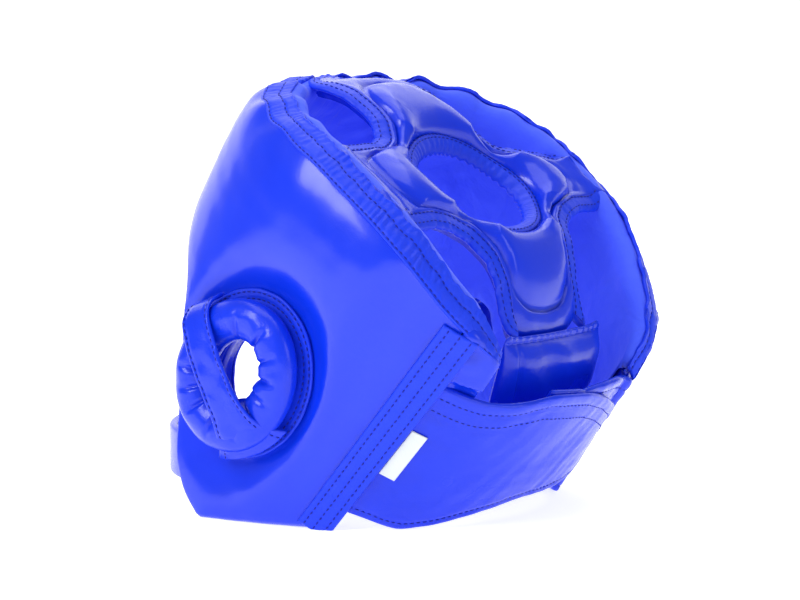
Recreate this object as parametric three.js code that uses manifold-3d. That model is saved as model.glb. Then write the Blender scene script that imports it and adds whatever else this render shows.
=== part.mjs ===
import * as THREE from 'three';
import { mergeVertices } from 'three/addons/utils/BufferGeometryUtils.js';
import Module from 'manifold-3d';

const wasm = await Module();
wasm.setup();

// Sizes in millimetres. The wearer's frame has +X at the left ear, +Y at the back, +Z at the crown.

// Oval of the guard round the head
const HALF_WIDTH = 112;
const FRONT_REACH = 108;
const REAR_REACH = 135;
const OVAL_SHIFT = -8;
const FRONT_FULLNESS = 2.3;
const REAR_FULLNESS = 2.7;

// How it rests: leaned back on the jaw edges, with the ear line this high
const LEAN = THREE.MathUtils.degToRad(35.7);
const EAR_LINE_HEIGHT = 83.4;
const CLEARANCE = 0.3;

// Padded shell
const PAD_THICKNESS = 18;
const PAD_SWELL = 7;
const RIM_HEIGHT = 115;
const RIM_RIPPLE = 1.6;
const RIM_RIPPLES = 22;
const BEVEL_WIDTH = 12;
const BEVEL_RISE = 8;
const FOOT_ROUND = 5;
const SEAM_TOP_ANGLE = 40;
const SEAM_FOOT_ANGLE = 35.2;

// Soft inner skin and sewn tapes
const LINING_THICKNESS = 1.5;
const LINING_HEM = 8;
const TAPE_THICKNESS = 1.5;
const STRIP_WIDTH = 20;
const STRIP_FOOT_WIDTH = 17;

// Rear flaps, closure bands and label
const FLAP_END_ANGLE = 55;
const FLAP_STEPS = 6;
const FLAP_END_THICKNESS = 8;
const FLAP_RIM_DROP = 1;
const FLAP_STEP = 6;
const FLAP_FOOT = 0.3;
const BAND_THICKNESS = 3.5;
const BAND_TOP = 64;
const BAND_OVERLAP_ANGLE = 117;
const BAND_UNDER_ANGLE = 72;
const LABEL_WIDTH = 9;
const LABEL_LENGTH = 31;
const LABEL_THICKNESS = 0.6;
const LABEL_FOOT = 1;

// Crown cross with its round vent
const CROWN_HEIGHT = 124;
const CROWN_LENGTH = 100;
const CROWN_THICKNESS = 10;
const CROWN_SIDE_DROP = 2;
const CROWN_PUFF = 3;
const CROWN_GROOVE = 2.5;
const ARM_HALF_WIDTH = 36;
const ARM_SAG_FRONT = 3;
const ARM_SAG_REAR = 6;
const RIGHT_ARM_TURN = 13;
const VENT_HALF_WIDTH = 37;
const VENT_HALF_LENGTH = 30;
const VENT_CENTRE_Y = 2;
const VENT_BINDING_WIDTH = 9;
const VENT_BINDING_THICKNESS = 5;
const VENT_BINDING_SLOPE = 5;
const EDGE_BINDING_WIDTH = 8;

// Rear tab on the end of the cross
const TAB_WIDTH = 90;
const TAB_LENGTH = 38;
const TAB_THICKNESS = 7;
const TAB_RISE = 0.1;
const TAB_TILT = THREE.MathUtils.degToRad(20);
const TAB_CURL = 2;
const TAB_LAP = 0.3;

// Ear openings
const EAR_Y = 0.5;
const EAR_Z = -4;
const EAR_STRETCH = 5.5;
const EAR_HOLE_RADIUS = 20;
const EAR_FLANGE_RADIUS = 41.5;
const EAR_FLANGE_THICKNESS = 2;
const EAR_SEAT_DEPTH = 6;
const EAR_DISH_WIDTH = 11;
const EAR_DISH_RISE = 8;
const EAR_SEAT_X = HALF_WIDTH - EAR_SEAT_DEPTH;
const EAR_RING_RADIUS = 26;
const EAR_RING_WIDTH = 22;
const EAR_RING_HEIGHT = 17;
const EAR_RING_PLEATS = 8;
const EAR_RING_PLEAT_DEPTH = 1.5;
const EAR_STRAP_WIDTH = 20;
const EAR_STRAP_THICKNESS = 2;
const EAR_TAIL_BOW = 4;

// Chin strap
const CHIN_STRAP_WIDTH = 28;
const CHIN_STRAP_THICKNESS = 5;
const CHIN_STRAP_REACH = 78;
const CHIN_STRAP_START = -36;
const CHIN_STRAP_SEWN = 16;
const CHIN_STRAP_HEIGHT = 27;

// Rim height by the angle round the oval, as a share of RIM_HEIGHT; the front is at -90 degrees
const RIM_ROWS = [
  { angle: -90, height: 0.85 },
  { angle: -70, height: 0.87 },
  { angle: -50, height: 0.92 },
  { angle: -32, height: 0.96 },
  { angle: -9, height: 1.0 },
  { angle: 7, height: 0.99 },
  { angle: 21, height: 0.95 },
  { angle: 35, height: 0.86 },
  { angle: 50, height: 0.76 },
];

// Columns of the shell from the brow to the seam: rim angle, foot angle, foot as a share of RIM_HEIGHT
const COLUMN_ROWS = [
  { rim: -90, foot: -90, height: 0.17 },
  { rim: -75, foot: -76, height: 0.17 },
  { rim: -62, foot: -64, height: 0.17 },
  { rim: -50, foot: -55, height: 0.165 },
  { rim: -42, foot: -46, height: 0.145 },
  { rim: -34, foot: -37, height: 0.1 },
  { rim: -27, foot: -29, height: 0.03 },
  { rim: -20, foot: -22, height: -0.12 },
  { rim: -13, foot: -15, height: -0.3 },
  { rim: -7, foot: -8, height: -0.48 },
  { rim: -2, foot: -1, height: -0.63 },
  { rim: 4, foot: 6, height: -0.73 },
  { rim: 10, foot: 13, height: -0.78 },
  { rim: 18, foot: 20, height: -0.9 },
  { rim: 28, foot: 28, height: -0.9 },
  { rim: SEAM_TOP_ANGLE, foot: SEAM_FOOT_ANGLE, height: -0.9 },
];

// Depth of the lining's upper edge under the rim, deeper where the arms of the cross are sewn on
const LINING_ROWS = [
  { angle: -90, drop: 1.2 },
  { angle: -66, drop: 1.2 },
  { angle: -58, drop: 0.1 },
  { angle: -26, drop: 0.1 },
  { angle: -18, drop: 0.9 },
  { angle: 20, drop: 0.9 },
  { angle: 27, drop: 0.1 },
  { angle: 36, drop: 0.1 },
];

// Closure band: top and bottom edges as shares of BAND_TOP, by the angle round the oval
const BAND_ROWS = [
  { angle: 34, top: 0.97, bottom: -0.5 },
  { angle: 43, top: 0.97, bottom: -0.44 },
  { angle: 50, top: 0.98, bottom: -0.42 },
  { angle: 56, top: 1.02, bottom: -0.33 },
  { angle: 61, top: 1.07, bottom: -0.24 },
  { angle: 72, top: 1.16, bottom: -0.1 },
  { angle: 86, top: 1.14, bottom: -0.02 },
  { angle: 100, top: 1.03, bottom: 0.0 },
  { angle: 108, top: 0.92, bottom: 0.04 },
  { angle: 113, top: 0.84, bottom: 0.12 },
  { angle: 116, top: 0.72, bottom: 0.27 },
  { angle: 117, top: 0.62, bottom: 0.4 },
];

// Crown height along the head, both as shares of CROWN_LENGTH and CROWN_HEIGHT
const CROWN_ROWS = [
  { along: -1.0, height: 0.89 },
  { along: -0.86, height: 0.965 },
  { along: -0.7, height: 1.0 },
  { along: -0.5, height: 1.005 },
  { along: -0.32, height: 0.985 },
  { along: 0.0, height: 0.96 },
  { along: 0.3, height: 0.95 },
  { along: 0.44, height: 0.925 },
  { along: 0.56, height: 0.87 },
  { along: 0.68, height: 0.79 },
  { along: 0.78, height: 0.715 },
  { along: 0.87, height: 0.65 },
];

// Height along the side arms, both as shares of HALF_WIDTH and CROWN_HEIGHT
const ARM_ROWS = [
  { across: 0.3, height: 0.97 },
  { across: 0.54, height: 0.976 },
  { across: 0.76, height: 0.972 },
  { across: 0.83, height: 0.96 },
];

// Outline of the cross by direction from the vent: edge and groove as shares of the way to the pad
const CROSS_ROWS = [
  { angle: -90, edge: 1.0, groove: 0.84 },
  { angle: -81, edge: 1.0, groove: 0.83 },
  { angle: -73, edge: 1.0, groove: 0.76 },
  { angle: -68, edge: 0.8, groove: 0.68 },
  { angle: -62, edge: 0.64, groove: 0.57 },
  { angle: -54, edge: 0.56, groove: 0.5 },
  { angle: -44, edge: 0.53, groove: 0.48 },
  { angle: -34, edge: 0.58, groove: 0.53 },
  { angle: -26, edge: 0.72, groove: 0.64 },
  { angle: -16, edge: 1.0, groove: 0.8 },
  { angle: -2, edge: 1.0, groove: 0.83 },
  { angle: 12, edge: 1.0, groove: 0.78 },
  { angle: 18, edge: 0.74, groove: 0.67 },
  { angle: 28, edge: 0.58, groove: 0.52 },
  { angle: 40, edge: 0.52, groove: 0.47 },
  { angle: 53, edge: 0.545, groove: 0.49 },
  { angle: 62, edge: 0.62, groove: 0.55 },
  { angle: 69, edge: 0.76, groove: 0.64 },
  { angle: 80, edge: 0.78, groove: 0.69 },
  { angle: 90, edge: 0.785, groove: 0.7 },
];

// Ear strap over the ring: shares of EAR_FLANGE_RADIUS back and up, share of the ring's height out
const STRAP_ROWS = [
  { back: -0.96, up: 0.43, out: 0.04, flare: 1.0 },
  { back: -0.92, up: 0.39, out: 0.55, flare: 0.95 },
  { back: -0.79, up: 0.3, out: 0.95, flare: 0.95 },
  { back: -0.54, up: 0.145, out: 1.1, flare: 1.0 },
  { back: -0.11, up: -0.1, out: 1.15, flare: 1.0 },
  { back: 0.25, up: -0.3, out: 1.12, flare: 1.1 },
  { back: 0.52, up: -0.48, out: 1.08, flare: 1.3 },
  { back: 0.73, up: -0.67, out: 0.6, flare: 1.7 },
  { back: 0.78, up: -0.72, out: 0.12, flare: 2.1 },
];

// Directions between which each notch of the cross is bound
const FRONT_NOTCH = { from: -70, to: -20 };
const REAR_NOTCH = { from: 15, to: 66 };

const COLUMNS_PER_SIDE = 32;
const LINING_COLUMNS = 16;
const OUTER_ROWS = [0, 0.05, 0.16, 0.33, 0.5, 0.67, 0.83, 0.95, 1];
const INNER_ROWS = [1, 0.72, 0.45, 0.2, 0.03];
const SQUARE_SWELL = 6;

const LEFT = 1;
const RIGHT = -1;

const vinyl = { color: 0x4152f4, roughness: 0.35, metalness: 0 };
const tape = { color: 0x4155f6, roughness: 0.7, metalness: 0 };
const cloth = { color: 0x5c70f4, roughness: 0.85, metalness: 0 };
const white = { color: 0xdfe6e6, roughness: 0.8, metalness: 0 };

function mix(a, b, share) {
  return a + (b - a) * share;
}

function ramp(from, to, value) {
  const t = Math.min(Math.max((value - from) / (to - from), 0), 1);
  return t * t * (3 - 2 * t);
}

// Smooth curve through a column of a table, without overshoot
function along(rows, key, column, at) {
  const last = rows.length - 1;
  const clamped = Math.min(Math.max(at, rows[0][key]), rows[last][key]);
  let i = 0;
  while (i < last - 1 && clamped > rows[i + 1][key]) i += 1;
  const secant = (k) => {
    const n = Math.min(Math.max(k, 0), last - 1);
    return (rows[n + 1][column] - rows[n][column]) / (rows[n + 1][key] - rows[n][key]);
  };
  const slope = (k) => {
    const before = secant(k - 1);
    const after = secant(k);
    return before * after > 0 ? (2 * before * after) / (before + after) : 0;
  };
  const width = rows[i + 1][key] - rows[i][key];
  const t = (clamped - rows[i][key]) / width;
  const rise = t * t * (3 - 2 * t);
  const start = (t - 1) * (t - 1) * t * width * slope(i);
  const end = (t - 1) * t * t * width * slope(i + 1);
  return mix(rows[i][column], rows[i + 1][column], rise) + start + end;
}

function oval(angle, outset) {
  const radians = THREE.MathUtils.degToRad(angle);
  const across = Math.cos(radians);
  const back = Math.sin(radians);
  const fullness = back < 0 ? FRONT_FULLNESS : REAR_FULLNESS;
  const reach = back < 0 ? FRONT_REACH : REAR_REACH;
  const total = Math.abs(across) ** fullness + Math.abs(back) ** fullness;
  const radius = total ** (-1 / fullness);
  return {
    x: (HALF_WIDTH + outset) * radius * across,
    y: OVAL_SHIFT + (reach + outset) * radius * back,
  };
}

function floorUnder(y) {
  return (y * Math.sin(LEAN) - EAR_LINE_HEIGHT) / Math.cos(LEAN);
}

function rimHeight(angle) {
  const ripple = 1 - ramp(-40, -5, angle);
  const wave = Math.cos(THREE.MathUtils.degToRad(angle + 90) * RIM_RIPPLES);
  return RIM_HEIGHT * along(RIM_ROWS, 'angle', 'height', angle) + RIM_RIPPLE * ripple * wave;
}

function seamFoot() {
  return floorUnder(oval(SEAM_FOOT_ANGLE, 0).y);
}

// The back seam leans: its angle round the oval at a height
function seamAngle(z) {
  const share = (z - seamFoot()) / (rimHeight(SEAM_TOP_ANGLE) - seamFoot());
  return mix(SEAM_FOOT_ANGLE, SEAM_TOP_ANGLE, share);
}

// Closed mesh from a row of section rings with equal point counts
function loft(rings, closed) {
  const count = rings[0].length;
  const positions = rings.flat().flatMap((p) => [p.x, p.y, p.z]);
  const index = [];
  const spans = closed ? rings.length : rings.length - 1;
  for (let r = 0; r < spans; r += 1) {
    const next = (r + 1) % rings.length;
    for (let i = 0; i < count; i += 1) {
      const j = (i + 1) % count;
      index.push(r * count + i, next * count + i, next * count + j);
      index.push(r * count + i, next * count + j, r * count + j);
    }
  }
  const cap = (base, flip) => {
    for (let i = 0; i < count / 2 - 1; i += 1) {
      const a = base + i;
      const b = base + i + 1;
      const c = base + count - 2 - i;
      const d = base + count - 1 - i;
      const faces = i + 1 === count - 2 - i ? [[a, b, d]] : [[a, b, c], [a, c, d]];
      faces.forEach((f) => index.push(...(flip ? [f[0], f[2], f[1]] : f)));
    }
  };
  if (!closed) {
    cap(0, false);
    cap((rings.length - 1) * count, true);
  }
  const geometry = new THREE.BufferGeometry();
  geometry.setAttribute('position', new THREE.Float32BufferAttribute(positions, 3));
  geometry.setIndex(index);
  return faceOutwards(geometry);
}

function faceOutwards(geometry) {
  const p = geometry.getAttribute('position');
  const index = geometry.getIndex().array;
  const a = new THREE.Vector3();
  const b = new THREE.Vector3();
  const c = new THREE.Vector3();
  let volume = 0;
  for (let i = 0; i < index.length; i += 3) {
    a.fromBufferAttribute(p, index[i]);
    b.fromBufferAttribute(p, index[i + 1]);
    c.fromBufferAttribute(p, index[i + 2]);
    volume += a.dot(b.cross(c));
  }
  if (volume < 0) {
    for (let i = 0; i < index.length; i += 3) {
      const swap = index[i + 1];
      index[i + 1] = index[i + 2];
      index[i + 2] = swap;
    }
  }
  return geometry;
}

function toSolid(geometry) {
  const bare = geometry.clone();
  bare.deleteAttribute('normal');
  bare.deleteAttribute('uv');
  const merged = mergeVertices(bare, 1e-4);
  return new wasm.Manifold(new wasm.Mesh({
    numProp: 3,
    vertProperties: new Float32Array(merged.getAttribute('position').array),
    triVerts: new Uint32Array(merged.getIndex().array),
  }));
}

function toGeometry(solid) {
  const mesh = solid.getMesh();
  const geometry = new THREE.BufferGeometry();
  geometry.setAttribute('position', new THREE.BufferAttribute(mesh.vertProperties, 3));
  geometry.setIndex(new THREE.BufferAttribute(mesh.triVerts, 1));
  return geometry;
}

// The ear openings are a little taller than wide
function stretchEar(geometry, radius) {
  geometry.rotateZ(Math.PI / 2);
  geometry.scale(1, 1, (radius + EAR_STRETCH) / radius);
  return geometry;
}

function cutEarHoles(solid, radius) {
  const drill = stretchEar(new THREE.CylinderGeometry(radius, radius, 4 * HALF_WIDTH, 24), radius);
  drill.translate(0, EAR_Y, EAR_Z);
  return solid.subtract(toSolid(drill));
}

// Flat seat of the ear flange, in a dish of the padded face
function cutEarDish(solid, side) {
  const seat = EAR_FLANGE_RADIUS + 1;
  const slope = EAR_DISH_WIDTH / EAR_DISH_RISE;
  const depth = 3 * EAR_DISH_RISE;
  const narrow = side === LEFT ? seat : seat + slope * depth;
  const wide = side === LEFT ? seat + slope * depth : seat;
  const dish = stretchEar(new THREE.CylinderGeometry(narrow, wide, depth, 32), seat);
  dish.translate(side * (EAR_SEAT_X + depth / 2), EAR_Y, EAR_Z);
  return solid.subtract(toSolid(dish));
}

const guard = new THREE.Group();
guard.rotation.x = -LEAN;
guard.position.z = EAR_LINE_HEIGHT;

function addPiece(name, geometry, finish) {
  geometry.computeVertexNormals();
  const piece = new THREE.Mesh(geometry, new THREE.MeshStandardMaterial(finish));
  piece.name = name;
  guard.add(piece);
}

function column(share) {
  const scaled = share * (COLUMN_ROWS.length - 1);
  const rows = COLUMN_ROWS.map((row, n) => ({ ...row, n }));
  return {
    rim: along(rows, 'n', 'rim', scaled),
    foot: along(rows, 'n', 'foot', scaled),
    height: along(rows, 'n', 'height', scaled) * RIM_HEIGHT,
  };
}

// A point of the shell: share 0 at the foot and 1 at the rim, outset from the oval
function shellPoint(side, col, share, outset, lift) {
  const angle = mix(col.foot, col.rim, share);
  const plan = oval(angle, outset);
  const foot = Math.max(col.height, floorUnder(plan.y));
  const z = mix(foot, rimHeight(col.rim), share) + lift;
  return new THREE.Vector3(side * plan.x, plan.y, Math.max(z, floorUnder(plan.y)));
}

function swellAt(col, share) {
  const ends = 1 - Math.abs(2 * share - 1) ** SQUARE_SWELL;
  const seam = 1 - ramp(16, 28, col.rim);
  return PAD_SWELL * ends * mix(0.45, 1, share) * seam;
}

function padRing(side, col) {
  const ring = [shellPoint(side, col, 0, -FOOT_ROUND, 0)];
  OUTER_ROWS.slice(1).forEach((share) => {
    ring.push(shellPoint(side, col, share, swellAt(col, share), 0));
  });
  ring.push(shellPoint(side, col, 1, -BEVEL_WIDTH, BEVEL_RISE));
  INNER_ROWS.forEach((share) => {
    const lift = share === 1 ? BEVEL_RISE - 1 : 0;
    ring.push(shellPoint(side, col, share, -PAD_THICKNESS, lift));
  });
  ring.push(shellPoint(side, col, 0, -PAD_THICKNESS + FOOT_ROUND / 2, 0));
  return ring;
}

// Rings over the whole horseshoe, from the left seam round the brow to the right seam
function horseshoe(makeRing, count) {
  const rings = [];
  for (let i = count; i > 0; i -= 1) rings.push(makeRing(LEFT, column(i / count)));
  for (let i = 0; i <= count; i += 1) rings.push(makeRing(RIGHT, column(i / count)));
  return rings;
}

function buildShell() {
  const whole = toSolid(loft(horseshoe(padRing, COLUMNS_PER_SIDE), false));
  const seated = cutEarDish(cutEarDish(whole, LEFT), RIGHT);
  addPiece('shell_pad', toGeometry(cutEarHoles(seated, EAR_HOLE_RADIUS)), vinyl);
}

function liningRing(side, col) {
  const drop = along(LINING_ROWS, 'angle', 'drop', col.rim) * PAD_THICKNESS;
  const outer = -PAD_THICKNESS - CLEARANCE;
  const inner = outer - LINING_THICKNESS;
  const rimShare = 1;
  const rows = [0, 0.33, 0.67, 1];
  const height = rimHeight(col.rim) - col.height;
  const share = (row) => mix(LINING_HEM / Math.max(height, 1), rimShare, row);
  const point = (row, outset) => shellPoint(side, col, share(row), outset, BEVEL_RISE / 2 - drop * row);
  return [...rows.map((row) => point(row, outer)), ...rows.reverse().map((row) => point(row, inner))];
}

// A rear flap thins from the seam to its end
function flapThickness(share) {
  return mix(PAD_THICKNESS, FLAP_END_THICKNESS, ramp(0, 1, share));
}

// The lining runs on over the inner face of a rear flap, from the seam to the flap's end
function flapLiningRing(side, share) {
  const thickness = flapThickness(share);
  const outer = -thickness - 2 * CLEARANCE;
  const foot = LINING_HEM - BAND_TOP * FLAP_FOOT;
  const rim = rimHeight(mix(SEAM_TOP_ANGLE, FLAP_END_ANGLE, share));
  const top = rim + (BEVEL_RISE / 2) * (thickness / PAD_THICKNESS);
  const point = (row, outset) => {
    const z = mix(foot, top, row);
    const plan = oval(mix(seamAngle(z), FLAP_END_ANGLE, share), outset);
    return new THREE.Vector3(side * plan.x, plan.y, z);
  };
  const rows = [0, 0.33, 0.67, 1];
  return [
    ...rows.map((row) => point(row, outer)),
    ...rows.reverse().map((row) => point(row, outer - LINING_THICKNESS)),
  ];
}

function buildLining() {
  const shares = [];
  for (let i = FLAP_STEPS; i > 0; i -= 1) shares.push((i - 0.1) / FLAP_STEPS);
  const rings = [
    ...shares.map((share) => flapLiningRing(LEFT, share)),
    ...horseshoe(liningRing, LINING_COLUMNS),
    ...shares.reverse().map((share) => flapLiningRing(RIGHT, share)),
  ];
  const whole = toSolid(loft(rings, false));
  addPiece('lining', toGeometry(cutEarHoles(whole, EAR_HOLE_RADIUS)), cloth);
}

// Section of a tape that lies on a path of [outset, lift] pairs
function tapeSection(path, gap, thickness) {
  const raised = (distance) => path.map((point, i) => {
    const before = path[Math.max(i - 1, 0)];
    const after = path[Math.min(i + 1, path.length - 1)];
    const run = after[0] - before[0];
    const rise = after[1] - before[1];
    const length = Math.hypot(run, rise);
    return [point[0] + (rise / length) * distance, point[1] - (run / length) * distance];
  });
  return [...raised(gap), ...raised(gap + thickness).reverse()];
}

const RIM_PATH = [
  [0, 0],
  [-BEVEL_WIDTH, BEVEL_RISE],
  [-PAD_THICKNESS + 1, BEVEL_RISE - 0.8],
];

function buildTopBinding() {
  const ring = (side, angle, thin) => {
    const path = RIM_PATH.map(([outset, lift]) => [outset * thin, lift * thin]);
    return tapeSection(path, CLEARANCE, TAPE_THICKNESS).map(([outset, lift]) => {
      const plan = oval(angle, outset);
      return new THREE.Vector3(side * plan.x, plan.y, rimHeight(angle) + lift);
    });
  };
  const overPad = (side) => horseshoe((at, col) => (at === side ? ring(side, col.rim, 1) : null), COLUMNS_PER_SIDE);
  const overFlap = (side) => [0.25, 0.5, 0.7, 0.9].map((share) => {
    return ring(side, mix(SEAM_TOP_ANGLE, FLAP_END_ANGLE, share), flapThickness(share) / PAD_THICKNESS);
  });
  const rings = [
    ...overFlap(LEFT).reverse(),
    ...overPad(LEFT).filter(Boolean),
    ...overPad(RIGHT).filter(Boolean),
    ...overFlap(RIGHT),
  ];
  addPiece('top_binding', loft(rings, false), tape);
}

// Wall between two heights that follows the oval
function wallRing(side, angle, top, bottom, outer, thickness, rows) {
  const point = (share, outset) => {
    const z = mix(bottom, top, share);
    const plan = oval(typeof angle === 'function' ? angle(z) : angle, outset);
    return new THREE.Vector3(side * plan.x, plan.y, Math.max(z, floorUnder(plan.y)));
  };
  const ring = [];
  for (let i = 0; i <= rows; i += 1) ring.push(point(i / rows, outer));
  for (let i = rows; i >= 0; i -= 1) ring.push(point(i / rows, outer - thickness));
  return ring;
}

const degreesPerMm = 180 / (Math.PI * REAR_REACH);
const BAND_INSET = CLEARANCE;
const FLAP_INSET = BAND_INSET + BAND_THICKNESS + CLEARANCE;

function buildFlap(side, name) {
  const rings = [];
  for (let i = 0; i <= FLAP_STEPS; i += 1) {
    const share = i / FLAP_STEPS;
    const top = rimHeight(mix(SEAM_TOP_ANGLE, FLAP_END_ANGLE, share)) - FLAP_RIM_DROP;
    const inner = flapThickness(share);
    const thin = inner / PAD_THICKNESS;
    const point = (z, inset) => {
      const plan = oval(mix(seamAngle(z) + 2 * CLEARANCE, FLAP_END_ANGLE, share), -inset);
      return new THREE.Vector3(side * plan.x, plan.y, Math.max(z, floorUnder(plan.y)));
    };
    rings.push([
      point(-BAND_TOP * FLAP_FOOT, FLAP_INSET),
      point(BAND_TOP * 0.4, FLAP_INSET),
      point(BAND_TOP + FLAP_STEP / 3, FLAP_INSET),
      point(BAND_TOP + FLAP_STEP, BAND_INSET),
      point(top, BAND_INSET),
      point(top + BEVEL_RISE * thin, BEVEL_WIDTH * thin),
      point(top + BEVEL_RISE * thin - 1, inner),
      point(BAND_TOP + FLAP_STEP, inner),
      point(BAND_TOP + FLAP_STEP / 3, inner),
      point(BAND_TOP * 0.4, inner),
      point(-BAND_TOP * FLAP_FOOT, inner),
    ]);
  }
  addPiece(name, loft(rings, false), vinyl);
}

// Half the strip's width at a height, as an angle round the oval
function stripHalf(z) {
  return (mix(STRIP_FOOT_WIDTH, STRIP_WIDTH, ramp(-RIM_HEIGHT / 2, RIM_HEIGHT, z)) / 2) * degreesPerMm;
}

function buildStrip(side, name) {
  const steps = 4;
  const rings = [];
  for (let i = 0; i <= steps; i += 1) {
    const angle = (z) => seamAngle(z) + mix(-1, 1, i / steps) * stripHalf(z);
    const top = rimHeight(angle(RIM_HEIGHT)) - 2 * CLEARANCE;
    const outer = CLEARANCE + TAPE_THICKNESS;
    const foot = floorUnder(oval(angle(seamFoot()), outer).y);
    rings.push(wallRing(side, angle, top, foot, outer, TAPE_THICKNESS, 8));
  }
  addPiece(name, loft(rings, false), tape);
}

// Outset of a closure band: the right one steps in under the left one
function bandInset(side, angle) {
  if (side === LEFT) return BAND_INSET;
  const step = ramp(FLAP_END_ANGLE, 180 - BAND_OVERLAP_ANGLE - 3, angle);
  return mix(BAND_INSET, BAND_INSET + BAND_THICKNESS + CLEARANCE, step);
}

function buildBand(side, name) {
  const end = side === LEFT ? BAND_OVERLAP_ANGLE : 180 - BAND_UNDER_ANGLE;
  const steps = 22;
  const rings = [];
  for (let i = 0; i <= steps; i += 1) {
    const share = i / steps;
    const middle = mix(SEAM_FOOT_ANGLE, end, share);
    const angle = (z) => mix(seamAngle(z) + CLEARANCE, end, share);
    const rows = side === LEFT ? middle : Math.min(middle, 180 - middle);
    const top = BAND_TOP * along(BAND_ROWS, 'angle', 'top', rows);
    const bottom = BAND_TOP * along(BAND_ROWS, 'angle', 'bottom', rows);
    rings.push(wallRing(side, angle, top, bottom, -bandInset(side, middle), BAND_THICKNESS, 4));
  }
  addPiece(name, loft(rings, false), vinyl);
}

function buildLabel() {
  const start = (z) => seamAngle(z) + stripHalf(z) + CLEARANCE * degreesPerMm;
  const steps = 2;
  const rings = [];
  for (let i = 0; i <= steps; i += 1) {
    const angle = (z) => start(z) + (LABEL_WIDTH * degreesPerMm * i) / steps;
    const outer = CLEARANCE + LABEL_THICKNESS - BAND_INSET;
    rings.push(wallRing(LEFT, angle, LABEL_FOOT + LABEL_LENGTH, LABEL_FOOT, outer, LABEL_THICKNESS, 3));
  }
  addPiece('label_tag', loft(rings, false), white);
}

function crownHeight(x, y) {
  const spine = CROWN_HEIGHT * along(CROWN_ROWS, 'along', 'height', y / CROWN_LENGTH);
  const bowed = spine - CROWN_SIDE_DROP * (x / ARM_HALF_WIDTH) ** 2;
  const arm = CROWN_HEIGHT * along(ARM_ROWS, 'across', 'height', Math.abs(x) / HALF_WIDTH);
  const sagged = arm - (y < 0 ? ARM_SAG_FRONT : ARM_SAG_REAR) * (y / ARM_HALF_WIDTH) ** 2;
  const ends = 1 - ramp(ARM_HALF_WIDTH, 1.6 * ARM_HALF_WIDTH, Math.abs(y));
  return mix(bowed, sagged, ramp(0.8 * ARM_HALF_WIDTH, 1.7 * ARM_HALF_WIDTH, Math.abs(x)) * ends);
}

// Distance from the vent centre to the inside of the pad in a direction
function reachToPad(angle) {
  const inset = PAD_THICKNESS + CLEARANCE;
  const radians = THREE.MathUtils.degToRad(angle);
  const across = Math.abs(Math.cos(radians));
  const back = Math.sin(radians);
  let near = 0;
  let far = HALF_WIDTH + REAR_REACH;
  for (let i = 0; i < 40; i += 1) {
    const middle = (near + far) / 2;
    const y = VENT_CENTRE_Y + back * middle - OVAL_SHIFT;
    const fullness = y < 0 ? FRONT_FULLNESS : REAR_FULLNESS;
    const reach = (y < 0 ? FRONT_REACH : REAR_REACH) - inset;
    const spread = ((across * middle) / (HALF_WIDTH - inset)) ** fullness;
    const inside = spread + (Math.abs(y) / reach) ** fullness < 1;
    near = inside ? middle : near;
    far = inside ? far : middle;
  }
  return near;
}

function crownPoint(angle, radius, lift) {
  const radians = THREE.MathUtils.degToRad(angle);
  const x = Math.cos(radians) * radius;
  const y = VENT_CENTRE_Y + Math.sin(radians) * radius;
  return new THREE.Vector3(x, y, crownHeight(x, y) + lift);
}

function ventRadius(angle, margin) {
  const radians = THREE.MathUtils.degToRad(angle);
  const across = Math.cos(radians) / (VENT_HALF_WIDTH + margin);
  const back = Math.sin(radians) / (VENT_HALF_LENGTH + margin);
  return 1 / Math.hypot(across, back);
}

// The tables run from the front to the back for both halves; the right arm is sewn further back
function halfAngle(angle) {
  const radians = THREE.MathUtils.degToRad(angle);
  const half = Math.asin(Math.sin(radians)) * THREE.MathUtils.RAD2DEG;
  const turn = RIGHT_ARM_TURN * ramp(-75, -38, half) * (1 - ramp(-4, 12, half));
  return Math.cos(radians) < -1e-9 ? half - turn : half;
}

function crossEdge(angle) {
  return along(CROSS_ROWS, 'angle', 'edge', halfAngle(angle)) * reachToPad(angle);
}

function crossGroove(angle) {
  return along(CROSS_ROWS, 'angle', 'groove', halfAngle(angle)) * reachToPad(angle);
}

// Directions that keep every corner of the cross, with steps between them
function crossAngles(steps) {
  const half = [];
  for (let i = 0; i < CROSS_ROWS.length - 1; i += 1) {
    for (let k = 0; k < steps; k += 1) {
      half.push(mix(CROSS_ROWS[i].angle, CROSS_ROWS[i + 1].angle, k / steps));
    }
  }
  return [...half, ...half.map((angle) => angle + 180)];
}

function crownRing(angle) {
  const inner = ventRadius(angle, VENT_BINDING_WIDTH + CLEARANCE);
  const edge = Math.max(crossEdge(angle), inner + 6);
  const groove = Math.min(Math.max(crossGroove(angle), inner + 3), edge - 2);
  const stations = [
    { radius: inner, lift: -CROWN_GROOVE },
    { radius: mix(inner, groove, 0.3), lift: CROWN_PUFF * 0.8 },
    { radius: mix(inner, groove, 0.7), lift: CROWN_PUFF * 0.8 },
    { radius: groove, lift: -CROWN_GROOVE },
    { radius: mix(groove, edge, 0.5), lift: 0 },
    { radius: edge, lift: -CROWN_THICKNESS * 0.3 },
    { radius: edge, lift: -CROWN_THICKNESS },
    { radius: groove, lift: -CROWN_THICKNESS },
    { radius: mix(inner, groove, 0.5), lift: -CROWN_THICKNESS },
    { radius: inner, lift: -CROWN_THICKNESS },
  ];
  return stations.map(({ radius, lift }) => crownPoint(angle, radius, lift));
}

function buildCrown() {
  addPiece('crown_pad', loft(crossAngles(2).map(crownRing), true), vinyl);
}

function ellipseSection(count, make) {
  const ring = [];
  for (let i = 0; i < count; i += 1) {
    const turn = (2 * Math.PI * i) / count;
    ring.push(make(Math.cos(turn), Math.sin(turn)));
  }
  return ring;
}

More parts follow.
